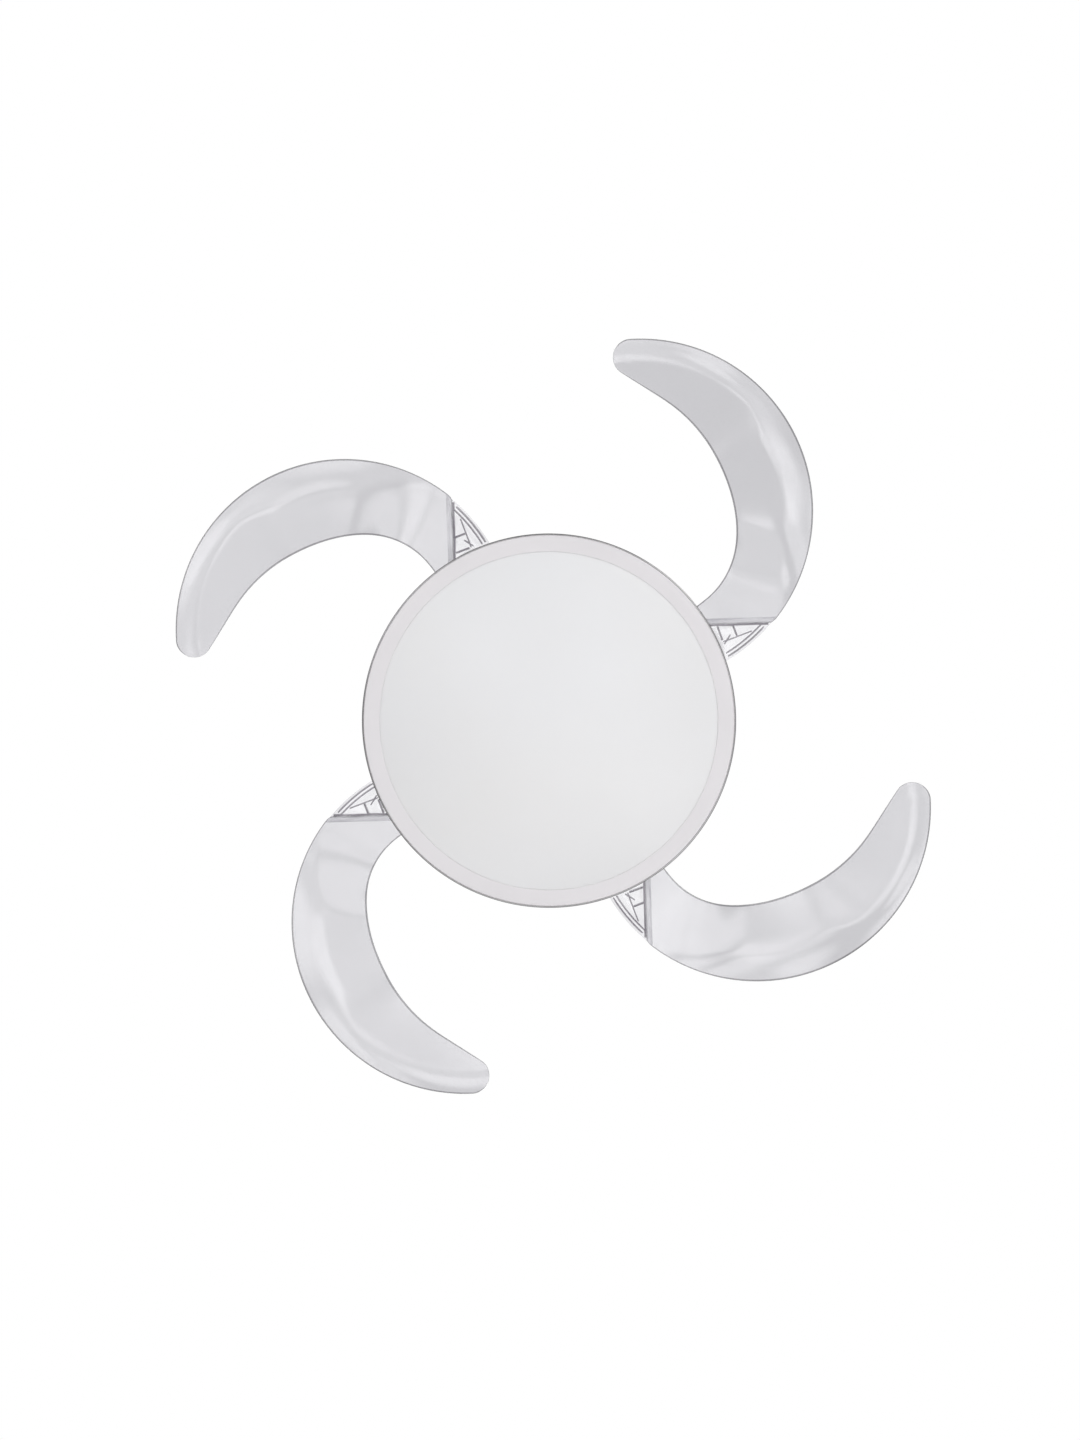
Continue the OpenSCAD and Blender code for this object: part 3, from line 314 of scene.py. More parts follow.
def grain_group():
    """Noise on the piece itself: a mask from 0 to 1 and the same as a height"""
    tree, given, out = new_group(
        "grain",
        [
            ("Scale", "NodeSocketFloat", 400.0),
            ("Stretch", "NodeSocketVector", (1.0, 1.0, 1.0)),
            ("Detail", "NodeSocketFloat", 3.0),
            ("Low", "NodeSocketFloat", 0.35),
            ("High", "NodeSocketFloat", 0.65),
        ],
        [("Mask", "NodeSocketFloat"), ("Height", "NodeSocketFloat")],
    )
    inputs = {0: object_place(tree), 1: given["Stretch"]}
    laid = put(tree, "VectorMath", inputs, operation="MULTIPLY").outputs[0]
    inputs = {"Vector": laid, "Scale": given["Scale"], "Detail": given["Detail"]}
    noise = put(tree, "TexNoise", inputs).outputs[0]
    tree.links.new(remap(tree, noise, given["Low"], given["High"]), out.inputs["Mask"])
    tree.links.new(noise, out.inputs["Height"])
    return tree


def edge_group():
    """Mask of a piece's worn edges, and its normal rounded over them"""
    tree, given, out = new_group(
        "edges",
        [("Width", "NodeSocketFloat", 0.0008), ("Wear", "NodeSocketFloat", 0.5)],
        [("Mask", "NodeSocketFloat"), ("Normal", "NodeSocketVector")],
    )
    soft = put(tree, "Bevel", {"Radius": given["Width"]}, samples=6).outputs[0]
    face = put(tree, "NewGeometry").outputs["Normal"]
    edge = maths(tree, "SUBTRACT", 1.0, measure(tree, "DOT_PRODUCT", soft, face))
    inputs = {"Vector": object_place(tree), "Scale": 260.0, "Detail": 4.0}
    scuffs = put(tree, "TexNoise", inputs).outputs[0]
    broken = maths(tree, "MULTIPLY", edge, remap(tree, scuffs, 0.4, 0.6))
    mask = maths(tree, "MULTIPLY", broken, given["Wear"], use_clamp=True)
    tree.links.new(mask, out.inputs["Mask"])
    tree.links.new(soft, out.inputs["Normal"])
    return tree


def turning_group():
    """Turning marks round the fan's axis and along it, as a height"""
    tree, given, out = new_group(
        "turning",
        [("Pitch", "NodeSocketFloat", 0.0006), ("Break", "NodeSocketFloat", 0.3)],
        [("Height", "NodeSocketFloat")],
    )
    place = object_place(tree)
    parts = put(tree, "SeparateXYZ", {0: place}).outputs
    flat = put(tree, "CombineXYZ", {0: parts[0], 1: parts[1]}).outputs[0]
    run = maths(tree, "ADD", measure(tree, "LENGTH", flat), parts[2])
    turns = maths(tree, "DIVIDE", run, given["Pitch"])
    marks = put(tree, "TexNoise", {"W": turns, "Scale": 1.0}, noise_dimensions="1D").outputs[0]
    fade = put(tree, "TexNoise", {"Vector": place, "Scale": 60.0}).outputs[0]
    height = maths(tree, "SUBTRACT", marks, maths(tree, "MULTIPLY", fade, given["Break"]))
    tree.links.new(height, out.inputs["Height"])
    return tree


GROUP_MAKERS = {"grain": grain_group, "edges": edge_group, "turning": turning_group}
GROUPS = {}


def group(tree, name, **inputs):
    """Places one of the shared effects in a material; returns its outputs"""
    if name not in GROUPS:
        GROUPS[name] = GROUP_MAKERS[name]()
    made = tree.nodes.new("ShaderNodeGroup")
    made.node_tree = GROUPS[name]
    for key, value in inputs.items():
        made.inputs[key.capitalize()].default_value = value
    return made.outputs


# ---------- materials ----------


def new_material(name, **constants):
    """A material with its Principled shader; constants name its sockets, with _ for a space"""
    material = bpy.data.materials.new(name)
    material.use_nodes = True
    shader = material.node_tree.nodes["Principled BSDF"]
    for key, value in constants.items():
        shader.inputs[key.replace("_", " ")].default_value = value
    return material, material.node_tree, shader


def shade(tree, shader, socket, mask, low, high):
    """Feeds one of the shader's sockets with a value or colour that runs from low to high"""
    if isinstance(low, (int, float)):
        made = remap(tree, mask, to_low=low, to_high=high)
    else:
        made = mix(tree, mask, low, high)
    tree.links.new(made, shader.inputs[socket])


def bump(tree, shader, height, depth, strength, normal=None):
    """Gives the shader a bumped normal; depth is in metres"""
    inputs = {"Height": height, "Distance": depth, "Strength": strength}
    if normal is not None:
        inputs["Normal"] = normal
    made = put(tree, "Bump", inputs)
    tree.links.new(made.outputs[0], shader.inputs["Normal"])


def toned(colour, share):
    """The colour with its light times share"""
    return tuple(c * share for c in colour)


def worn(tree, shader, colour, dull, edge, width, wear, spots=9.0):
    """Base Color with faint large spots and worn edges; returns the normal rounded over them"""
    cloud = group(tree, "grain", scale=spots, low=0.3, high=0.7)["Mask"]
    edges = group(tree, "edges", width=width, wear=wear)
    body = mix(tree, cloud, colour, dull)
    tree.links.new(mix(tree, edges["Mask"], body, edge), shader.inputs["Base Color"])
    return edges["Normal"]


def powder_coat(name, colour):
    """Sprayed white coat: fine orange peel, faint smudges, greyer on its worn edges"""
    material, tree, shader = new_material(name, Coat_Weight=0.15, Coat_Roughness=0.25)
    dull, edge = toned(colour, 0.965), toned(colour, 0.8)
    normal = worn(tree, shader, colour, dull, edge, width=0.0007, wear=1.2)
    smudge = group(tree, "grain", scale=26.0, detail=5.0)["Mask"]
    shade(tree, shader, "Roughness", smudge, 0.36, 0.47)
    peel = group(tree, "grain", scale=900.0, detail=2.0)["Height"]
    bump(tree, shader, peel, depth=0.00006, strength=0.6, normal=normal)
    return material


def moulded(name, colour, rough=(0.3, 0.4), depth=0.00003):
    """Injection-moulded plastic: very fine spark texture and soft edges"""
    material, tree, shader = new_material(name, IOR=1.5)
    dull, edge = toned(colour, 0.97), toned(colour, 1.04)
    normal = worn(tree, shader, colour, dull, edge, width=0.0006, wear=0.8)
    smudge = group(tree, "grain", scale=34.0, detail=4.0)["Mask"]
    shade(tree, shader, "Roughness", smudge, *rough)
    spark = group(tree, "grain", scale=1800.0, detail=2.0)["Height"]
    bump(tree, shader, spark, depth=depth, strength=0.5, normal=normal)
    return material


def opal_acrylic(colour):
    """Satin opal dome: light gathers in it, with a faint cloudiness and a fine satin skin"""
    material, tree, shader = new_material(
        "opal", IOR=1.49, Subsurface_Weight=0.25, Subsurface_Scale=0.012
    )
    shader.inputs["Subsurface Radius"].default_value = (1.0, 0.95, 0.9)
    cloud = group(tree, "grain", scale=3.2, detail=2.0, low=0.25, high=0.75)["Mask"]
    warm = (colour[0] * 0.985, colour[1] * 0.975, colour[2] * 0.96)
    shade(tree, shader, "Base Color", cloud, colour, warm)
    smudge = group(tree, "grain", scale=18.0, detail=4.0)["Mask"]
    shade(tree, shader, "Roughness", smudge, 0.34, 0.42)
    skin = group(tree, "grain", scale=1400.0, detail=2.0)["Height"]
    bump(tree, shader, skin, depth=0.00002, strength=0.4)
    return material


def clear_plastic(name, tint, rough):
    """Polished clear polycarbonate; lamps shine through it, and its faces are a little wavy"""
    material, tree, shader = new_material(name, Transmission_Weight=1.0, IOR=1.585)
    cloud = group(tree, "grain", scale=11.0, detail=3.0, low=0.3, high=0.7)["Mask"]
    shade(tree, shader, "Base Color", cloud, tint, toned(tint, 0.97))
    wipes = group(tree, "grain", scale=30.0, detail=5.0, stretch=(1.0, 2.4, 1.0))["Mask"]
    shade(tree, shader, "Roughness", wipes, *rough)
    flow = group(tree, "grain", scale=14.0, detail=1.0)["Height"]
    bump(tree, shader, flow, depth=0.0002, strength=0.5)
    through = put(tree, "BsdfTransparent", {0: (*[math.sqrt(c) for c in tint], 1.0)})
    shadow = put(tree, "LightPath").outputs["Is Shadow Ray"]
    both = put(tree, "MixShader", {0: shadow, 1: shader.outputs[0], 2: through.outputs[0]})
    tree.links.new(both.outputs[0], tree.nodes["Material Output"].inputs["Surface"])
    return material


def zinc_plate():
    """Zinc-plated pressed steel: pale spangle, a trace of yellow and blue, brushed by handling"""
    material, tree, shader = new_material("zinc_plate", Metallic=1.0)
    inputs = {"Vector": object_place(tree), "Scale": 260.0, "Randomness": 1.0}
    flakes = put(tree, "TexVoronoi", inputs).outputs["Color"]
    tone = put(tree, "SeparateColor", {0: flakes}).outputs
    shade(tree, shader, "Base Color", tone[0], (0.52, 0.54, 0.58), (0.66, 0.65, 0.6))
    shade(tree, shader, "Roughness", tone[1], 0.26, 0.4)
    normal = group(tree, "edges", width=0.0005, wear=0.0)["Normal"]
    scratches = group(tree, "grain", scale=500.0, detail=4.0, stretch=(1.0, 0.12, 1.0))["Height"]
    bump(tree, shader, scratches, depth=0.00003, strength=0.5, normal=normal)
    return material


def turned_metal(name, colour, rough, pitch=0.0005):
    """Bare metal off a lathe: fine turning marks round the axis"""
    material, tree, shader = new_material(name, Metallic=1.0)
    dull, edge = toned(colour, 0.86), toned(colour, 1.15)
    normal = worn(tree, shader, colour, dull, edge, width=0.0005, wear=0.9, spots=40.0)
    film = group(tree, "grain", scale=55.0, detail=4.0)["Mask"]
    shade(tree, shader, "Roughness", film, *rough)
    marks = group(tree, "turning", pitch=pitch)["Height"]
    bump(tree, shader, marks, depth=0.00004, strength=0.5, normal=normal)
    return material


def polish(name, colour):
    """Bright polished metal with a few faint wipe marks and fine scratches"""
    material, tree, shader = new_material(name, Metallic=1.0)
    film = group(tree, "grain", scale=24.0, detail=4.0)["Mask"]
    shade(tree, shader, "Base Color", film, colour, toned(colour, 0.93))
    wipes = group(tree, "grain", scale=60.0, detail=5.0, stretch=(1.0, 1.0, 6.0))["Mask"]
    shade(tree, shader, "Roughness", wipes, 0.05, 0.12)
    scratches = group(tree, "grain", scale=700.0, detail=3.0, stretch=(1.0, 1.0, 0.1))["Height"]
    bump(tree, shader, scratches, depth=0.000004, strength=0.4)
    return material


def die_cast():
    """Die-cast aluminium: shot-blasted skin with flow marks and polished edges"""
    material, tree, shader = new_material("die_cast", Metallic=1.0)
    colour, edge = (0.62, 0.63, 0.645), (0.82, 0.83, 0.84)
    dull = toned(colour, 0.8)
    normal = worn(tree, shader, colour, dull, edge, width=0.0008, wear=2.0, spots=22.0)
    flow = group(tree, "grain", scale=70.0, detail=6.0)["Mask"]
    shade(tree, shader, "Roughness", flow, 0.38, 0.58)
    blast = group(tree, "grain", scale=1100.0, detail=3.0)["Height"]
    bump(tree, shader, blast, depth=0.0001, strength=0.6, normal=normal)
    return material


def lamination():
    """Stacked electrical steel: the edge of each sheet shows as a line, blued by annealing"""
    material, tree, shader = new_material("lamination", Metallic=1.0)
    inputs = {"Vector": object_place(tree), "Scale": 310.0, "Distortion": 0.4, "Detail": 2.0}
    sheets = put(tree, "TexWave", inputs, bands_direction="Z").outputs["Fac"]
    shade(tree, shader, "Base Color", sheets, (0.16, 0.17, 0.2), (0.42, 0.42, 0.45))
    film = group(tree, "grain", scale=60.0)["Mask"]
    shade(tree, shader, "Roughness", film, 0.35, 0.55)
    bump(tree, shader, sheets, depth=0.00012, strength=0.7)
    return material


def winding():
    """Enamelled copper wire wound in layers"""
    material, tree, shader = new_material("winding", Metallic=1.0, Coat_Weight=0.6)
    inputs = {
        "Vector": object_place(tree),
        "Scale": 360.0,
        "Distortion": 1.2,
        "Detail": 2.0,
        "Detail Scale": 0.6,
    }
    wires = put(tree, "TexWave", inputs, bands_direction="DIAGONAL").outputs["Fac"]
    shade(tree, shader, "Base Color", wires, (0.28, 0.07, 0.02), (0.66, 0.26, 0.1))
    varnish = group(tree, "grain", scale=90.0, detail=4.0)["Mask"]
    shade(tree, shader, "Roughness", varnish, 0.24, 0.42)
    bump(tree, shader, wires, depth=0.0004, strength=0.9)
    return material


def speckled(name, colour, fleck, rough, metallic=0.0):
    """A pressed or sintered body with fine flecks and pores"""
    material, tree, shader = new_material(name, Metallic=metallic)
    pores = group(tree, "grain", scale=1500.0, detail=5.0, low=0.5, high=0.68)
    shade(tree, shader, "Base Color", pores["Mask"], colour, fleck)
    film = group(tree, "grain", scale=80.0)["Mask"]
    shade(tree, shader, "Roughness", film, *rough)
    normal = group(tree, "edges", width=0.0005, wear=0.0)["Normal"]
    bump(tree, shader, pores["Height"], depth=0.0001, strength=0.6, normal=normal)
    return material


def solder_mask(chips_z):
    """White solder mask with faint copper pours; the chips, below chips_z, are yellow phosphor"""
    material, tree, shader = new_material("solder_mask", Coat_Weight=0.3)
    place = object_place(tree)
    inputs = {"Vector": place, "Scale": 55.0}
    pours = put(tree, "TexVoronoi", inputs, feature="DISTANCE_TO_EDGE").outputs[0]
    copper = remap(tree, pours, 0.03, 0.05)
    mask = mix(tree, copper, (0.72, 0.73, 0.72), (0.82, 0.83, 0.83))
    height = put(tree, "SeparateXYZ", {0: place}).outputs[2]
    chips = maths(tree, "LESS_THAN", height, chips_z)
    tree.links.new(mix(tree, chips, mask, (0.85, 0.66, 0.12)), shader.inputs["Base Color"])
    film = group(tree, "grain", scale=40.0)["Mask"]
    shade(tree, shader, "Roughness", film, 0.28, 0.4)
    bump(tree, shader, copper, depth=0.00004, strength=0.6)
    return material


# ---------- modelling ----------


def object_mode():
    """Ends editing, if a piece is being edited"""
    if bpy.context.object and bpy.context.object.mode != "OBJECT":
        bpy.ops.object.mode_set(mode="OBJECT")


def pick(piece):
    """Selects this piece alone"""
    object_mode()
    bpy.ops.object.select_all(action="DESELECT")
    piece.select_set(True)
    bpy.context.view_layer.objects.active = piece


def edit(piece, mode):
    """Starts editing the piece's VERT, EDGE or FACE with nothing selected"""
    pick(piece)
    bpy.ops.object.mode_set(mode="EDIT")
    bpy.ops.mesh.select_mode(type=mode)
    bpy.ops.mesh.select_all(action="DESELECT")


def select_where(piece, items, wanted):
    """Selects those of the piece's vertices, edges or polygons that wanted is true for"""
    bpy.ops.object.mode_set(mode="OBJECT")
    found = False
    for item in getattr(piece.data, items):
        item.select = wanted(item)
        found = found or item.select
    if not found:
        raise RuntimeError(f"{piece.name}: none of its {items} is the one that was wanted")
    bpy.ops.object.mode_set(mode="EDIT")


def copy_of(node, name):
    """A piece of its own with a CAD node's shape, its corners merged"""
    piece = bpy.data.objects.new(name, NODES[node].data.copy())
    piece.data.name = name
    piece.data.materials.clear()
    bpy.context.scene.collection.objects.link(piece)
    pick(piece)
    bpy.ops.mesh.customdata_custom_splitnormals_clear()
    edit(piece, "VERT")
    bpy.ops.mesh.select_all(action="SELECT")
    bpy.ops.mesh.remove_doubles(threshold=MERGE)
    bpy.ops.object.mode_set(mode="OBJECT")
    return piece


def add_modifier(piece, kind, **settings):
    """Adds a modifier and applies it"""
    pick(piece)
    made = piece.modifiers.new(kind.lower(), kind)
    for key, value in settings.items():
        setattr(made, key, value)
    bpy.ops.object.modifier_apply(modifier=made.name)


def smooth(piece, degrees):
    """Shades the piece smooth, but for edges sharper than the angle"""
    pick(piece)
    bpy.ops.object.shade_smooth_by_angle(angle=math.radians(degrees))


def paint(piece, *materials):
    """Gives the piece its materials, in the order of their slots"""
    piece.data.materials.clear()
    for material in materials:
        piece.data.materials.append(material)


def rounded(points, radii, steps):
    """A profile with its corners rounded in steps; radii maps a corner's number to its radius"""
    made = []
    for i, point in enumerate(points):
        if i not in radii:
            made.append(point)
            continue
        here = Vector(point)
        to_last = (Vector(points[i - 1]) - here).normalized()
        to_next = (Vector(points[(i + 1) % len(points)]) - here).normalized()
        half = to_last.angle(to_next) / 2
        reach = radii[i] / math.tan(half)
        centre = here + (to_last + to_next).normalized() * (radii[i] / math.sin(half))
        start = here + to_last * reach - centre
        end = here + to_next * reach - centre
        for j in range(steps + 1):
            made.append(tuple(centre + start.slerp(end, j / steps) * radii[i]))
    return made


def turned(name, profile, steps, degrees=25.0):
    """A piece spun round the fan's axis from its closed profile of (radius, height) points"""
    object_mode()
    bpy.ops.object.select_all(action="DESELECT")
    first = profile[0]
    bpy.ops.mesh.primitive_plane_add(size=0.001, location=(first[0], 0.0, first[1]))
    piece = bpy.context.object
    piece.name = piece.data.name = name
    bpy.ops.object.transform_apply(location=True, rotation=True, scale=True)
    bpy.ops.object.mode_set(mode="EDIT")
    bpy.ops.mesh.select_mode(type="VERT")
    bpy.ops.mesh.merge(type="CENTER")
    for here, there in zip(profile, profile[1:]):
        step = (there[0] - here[0], 0.0, there[1] - here[1])
        bpy.ops.mesh.extrude_vertices_move(TRANSFORM_OT_translate={"value": step})
    ends = [Vector((r, 0.0, z)) for r, z in (profile[0], profile[-1])]
    select_where(piece, "vertices", lambda v: min((v.co - e).length for e in ends) < MERGE)
    bpy.ops.mesh.edge_face_add()
    bpy.ops.mesh.select_all(action="SELECT")
    bpy.ops.mesh.spin(steps=steps, angle=math.tau, center=(0, 0, 0), axis=(0, 0, 1))
    bpy.ops.mesh.select_all(action="SELECT")
    bpy.ops.mesh.remove_doubles(threshold=MERGE)
    bpy.ops.mesh.normals_make_consistent(inside=False)
    bpy.ops.object.mode_set(mode="OBJECT")
    smooth(piece, degrees)
    return piece


def span(node):
    """Outer radius, lowest and highest height of a node about the fan's axis"""
    low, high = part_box(node)
    return high.x, low.z, high.z


def stand_for(piece, body, slot, *nodes):
    """Ends a piece: it rides on its body and stands for its CAD nodes; slot is not used"""
    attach(piece, body)
    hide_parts(*nodes)


# ---------- the pieces ----------


def face_angles(mesh):
    """Angle between the two faces at each edge, by the edge's corners"""
    normals = {}
    for face in mesh.polygons:
        for key in face.edge_keys:
            normals.setdefault(key, []).append(face.normal)
    return {k: n[0].angle(n[1]) for k, n in normals.items() if len(n) == 2}


def sharpest(mesh, angles):
    """The sharpest edge of a sheet's bend on its upper face and on its lower face"""
    found = []
    for side in (1, -1):
        flat = {k for f in mesh.polygons if f.normal.z * side > LEVEL for k in f.edge_keys}
        bends = (k for k in flat if angles.get(k, math.tau) < RIM_ANGLE)
        found.append(max(bends, key=angles.get))
    return found


class FanBlades(bpy.types.Operator):
    """Clear blade sheets with a soft bend and polished rims; the rims' dark tint is painted shade
    and the bend's lighter tint a painted highlight
    """

    bl_idname = "fan.blades"
    bl_label = "Blades"

    def execute(self, context):
        sizes, colours = context.scene.fan_sizes, context.scene.fan_colours
        sheet = clear_plastic("clear_sheet", colours.clear, rough=(0.01, 0.035))
        # The rim's dark tint is painted shade, which draws each blade's dark outline
        rim = clear_plastic("clear_rim", colours.rim, rough=(0.02, 0.05))
        # The bend's lighter tint is a painted highlight
        bend = clear_plastic("clear_bend", colours.bend, rough=(0.02, 0.05))
        for k in BLADES:
            node = f"blade_panel_{k}"
            piece = copy_of(node, f"clear_sheet_{k}")
            paint(piece, sheet, rim, bend)
            self.quads(piece)
            for face in piece.data.polygons:
                # Rim faces take the second material, whose dark tint is painted shade
                face.material_index = int(abs(face.normal.z) < LEVEL)
            self.round_bend(piece, sizes.bend_round)
            self.round_rims(piece, sizes.rim_round)
            add_modifier(piece, "SUBSURF", levels=2, render_levels=2)
            smooth(piece, 60.0)
            stand_for(piece, f"blade_{k}", "clear_blade", node)
        return {"FINISHED"}

    def quads(self, piece):
        """Joins the sheet's triangles in pairs, so that its edges run along and across it"""
        edit(piece, "FACE")
        bpy.ops.mesh.select_all(action="SELECT")
        bpy.ops.mesh.tris_convert_to_quads(
            face_threshold=math.radians(50), shape_threshold=math.radians(60)
        )
        bpy.ops.object.mode_set(mode="OBJECT")

    def round_bend(self, piece, offset):
        """Rounds the line along which the sheet bends, on both of its faces; the rounding takes the
        bend's lighter tint, which is a painted highlight
        """
        angles = face_angles(piece.data)
        edit(piece, "EDGE")
        bends = sharpest(piece.data, angles)
        select_where(piece, "edges", lambda edge: edge.key in bends)
        bpy.ops.mesh.loop_multi_select(ring=False)
        bpy.ops.mesh.bevel(offset=offset, segments=2, material=2)
        bpy.ops.object.mode_set(mode="OBJECT")

    def round_rims(self, piece, offset):
        """Rounds the edges between the sheet's faces and its rim; the rounding takes the rim's dark
        tint, which is painted shade
        """
        angles = face_angles(piece.data)
        edit(piece, "EDGE")
        select_where(piece, "edges", lambda edge: angles.get(edge.key, 0.0) > RIM_ANGLE)
        bpy.ops.mesh.bevel(offset=offset, segments=2, material=1)
        bpy.ops.object.mode_set(mode="OBJECT")


class FanRoots(bpy.types.Operator):
    """Clear moulded roots with rounded ribs, whose nearly black tint is painted shade"""

    bl_idname = "fan.roots"
    bl_label = "Blade roots"

    def execute(self, context):
        sizes, colours = context.scene.fan_sizes, context.scene.fan_colours
        plate = clear_plastic("clear_root", colours.root, rough=(0.01, 0.03))
        # The ribs' nearly black tint is painted shade
        rib = clear_plastic("clear_rib", colours.rib, rough=(0.02, 0.06))
        for k in BLADES:
            node = f"blade_root_{k}"
            piece = copy_of(node, f"clear_root_{k}")
            paint(piece, plate, rib)
            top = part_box(node)[0].z + PLATE_TOP
            for face in piece.data.polygons:
                # Faces above the plate are the ribs, which take the nearly black tint: painted
                # shade
                face.material_index = int(face.center.z > top)
            edit(piece, "FACE")
            select_where(piece, "polygons", lambda face: face.material_index == 1)
            bpy.ops.transform.shrink_fatten(value=sizes.rib_swell)
            object_mode()
            add_modifier(
                piece,
                "BEVEL",
                width=sizes.rib_round,
                segments=2,
                limit_method="ANGLE",
                angle_limit=math.radians(40),
            )
            smooth(piece, 35.0)
            stand_for(piece, f"blade_{k}", "clear_root", node)
        return {"FINISHED"}


class FanLight(bpy.types.Operator):
    """Opal dome, flat white ring and polished band of the light"""

    bl_idname = "fan.light"
    bl_label = "Light"

    def execute(self, context):
        sizes, colours = context.scene.fan_sizes, context.scene.fan_colours
        self.dome(sizes, colours)
        self.ring(sizes, colours)
        self.band(sizes, colours)
        return {"FINISHED"}

    def dome(self, sizes, colours):
        """A shell cut from a ball, with a short upright wall and a flange at its edge"""
        flange_r, low, rim = span("diffuser")
        wall, ledge, upright, rings = 0.0025, 0.0076, 0.0026, 40
        edge_r, seat = flange_r - ledge, rim - wall
        drop = seat - upright - low
        ball = (edge_r**2 + drop**2) / (2 * drop)
        middle = low + ball

        def skin(inset):
            """The shell's outer face, or its inner face one wall in"""
            full = math.asin((edge_r - inset) / ball)
            turns = [full * i / rings for i in range(rings + 1)]
            return [(ball * math.sin(t), middle + inset - ball * math.cos(t)) for t in turns]

        flange = [(edge_r, seat), (flange_r, seat), (flange_r, rim), (edge_r - wall, rim)]
        profile = skin(0.0) + flange + skin(wall)[::-1]
        piece = turned("opal_dome", profile, sizes.steps, 40.0)
        paint(piece, opal_acrylic(colours.opal))
        stand_for(piece, "downrod", "opal", "diffuser")

    def ring(self, sizes, colours):
        """A flat face with a skirt behind it that goes into the pan"""
        outer, low, high = span("bezel_ring")
        thick, width, skirt_in, skirt = 0.003, 0.0235, 0.004, 0.0018
        top, inner = low + thick, outer - width
        corners = [
            (inner, low),
            (outer + LIP_REACH, low),
            (outer + LIP_REACH, top),
            (outer - skirt_in, top),
            (outer - skirt_in, high),
            (outer - skirt_in - skirt, high),
            (outer - skirt_in - skirt, top),
            (inner, top),
        ]
        profile = rounded(corners, {0: 0.0002, 1: 0.002, 2: 0.0004, 7: 0.0004}, 6)
        piece = turned("white_ring", profile, sizes.steps)
        paint(piece, moulded("bezel_white", colours.moulding, rough=(0.34, 0.42)))
        stand_for(piece, "downrod", "white_plastic", "bezel_ring")

    def band(self, sizes, colours):
        """A hoop round the pan, rounded below, with a step for the ring's face to reach over"""
        outer, low, high = span("trim_ring")
        ring_r, ring_low, _ = span("bezel_ring")
        step_up, share = 0.0032, 0.86
        inner, shelf = ring_r + BAND_GAP, ring_low + step_up
        lip = inner + LIP_REACH
        corners = [
            (inner, high),
            (outer, high),
            (outer, low),
            (lip, low),
            (lip, shelf),
            (inner, shelf),
        ]
        profile = rounded(corners, {1: 0.0008, 2: (outer - lip) * share, 3: 0.0002}, 8)
        piece = turned("polished_band", profile, sizes.steps)
        # The band's dark colour is a painted dark reflection on real polished metal
        paint(piece, polish("band_polish", colours.trim_painted_dark))
        stand_for(piece, "downrod", "dark_trim", "trim_ring")


class FanFinishes(bpy.types.Operator):
    """Finishes of the pieces that keep their own shape"""

    bl_idname = "fan.finishes"
    bl_label = "Finishes"

    def execute(self, context):
        colours = context.scene.fan_colours
        chips_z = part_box("led_board")[0].z + CHIP_TALL
        zinc = zinc_plate()
        steel = turned_metal("turned_steel", (0.55, 0.56, 0.58), rough=(0.22, 0.34))
        spring = turned_metal("spring_steel", (0.66, 0.66, 0.68), rough=(0.12, 0.24), pitch=0.0003)
        cast = die_cast()
        coat = powder_coat("powder_coat", colours.powder)
        pan_coat = powder_coat("pan_coat", colours.powder)
        white = moulded("white_moulding", colours.moulding)
        black = moulded("black_moulding", (0.025, 0.025, 0.028), rough=(0.4, 0.55), depth=0.00008)
        nylon = moulded("nylon_seat", (0.06, 0.06, 0.062))
        magnet = speckled("ferrite", (0.045, 0.046, 0.05), (0.12, 0.12, 0.13), rough=(0.45, 0.6))
        bronze = speckled("sinter", (0.5, 0.33, 0.14), (0.2, 0.12, 0.05), (0.3, 0.45), metallic=1.0)
        rubber = speckled("soft_rubber", (0.02, 0.02, 0.02), (0.05, 0.05, 0.05), rough=(0.7, 0.85))
        finishes = (
            (zinc, "hanger_bracket pan_bracket canopy_screws cover_screws pan_screws"),
            (steel, "coupler coupler_pin ball_pin motor_shaft rotor_ring pivot_pins sync_ring"),
            (steel, "blade_screws_1 blade_screws_2 blade_screws_3 blade_screws_4"),
            (spring, "shaft_nut bezel_clips coupler_clip pivot_clips return_springs bearings"),
            (spring, "housing_screws carrier_screws"),
            (cast, "rotor_housing_upper rotor_housing_lower"),
            (cast, "blade_arm_1 blade_arm_2 blade_arm_3 blade_arm_4"),
            (coat, "canopy downrod coupler_cover motor_cover"),
            (pan_coat, "light_pan carrier_plate"),
            (white, "terminal_block led_driver ring_guides"),
            (black, "receiver_box hanger_ball"),
            (nylon, "ball_seat"),
            (magnet, "rotor_magnets coupler_set_screws"),
            (bronze, "pivot_bushes"),
            (rubber, "stop_bumpers"),
            (winding(), "stator_windings"),
            (lamination(), "stator_core"),
            (solder_mask(chips_z), "led_board"),
        )
        for material, names in finishes:
            for name in names.split():
                for slot in NODES[name].material_slots:
                    slot.material = material
        return {"FINISHED"}


# ---------- the stage ----------


def softbox(name, place, size, radiance, aim, core=0.3, card=False):
    """A round lamp whose light fades out from its core, a share of its radius, to its rim; a
    card only shows in mirrors"""
    data = bpy.data.lights.new(name, "AREA")
    data.shape = "DISK"
    data.size = size
    data.energy = radiance * math.pi * math.pi * size**2 / 4
    data.use_nodes = True
    tree = data.node_tree
    here = put(tree, "NewGeometry").outputs["Position"]
    away = measure(tree, "DISTANCE", here, place)
    fade = remap(
        tree, away, core * size / 2, size / 2, 1.0, 0.0, interpolation_type="SMOOTHSTEP"
    )
    tree.links.new(fade, tree.nodes["Emission"].inputs["Strength"])
    lamp = bpy.data.objects.new(name, data)
    lamp.location = place
    lamp.rotation_euler = (Vector(aim) - Vector(place)).to_track_quat("-Z", "Y").to_euler()
    lamp.visible_camera = False
    lamp.visible_diffuse = not card
    bpy.context.scene.collection.objects.link(lamp)


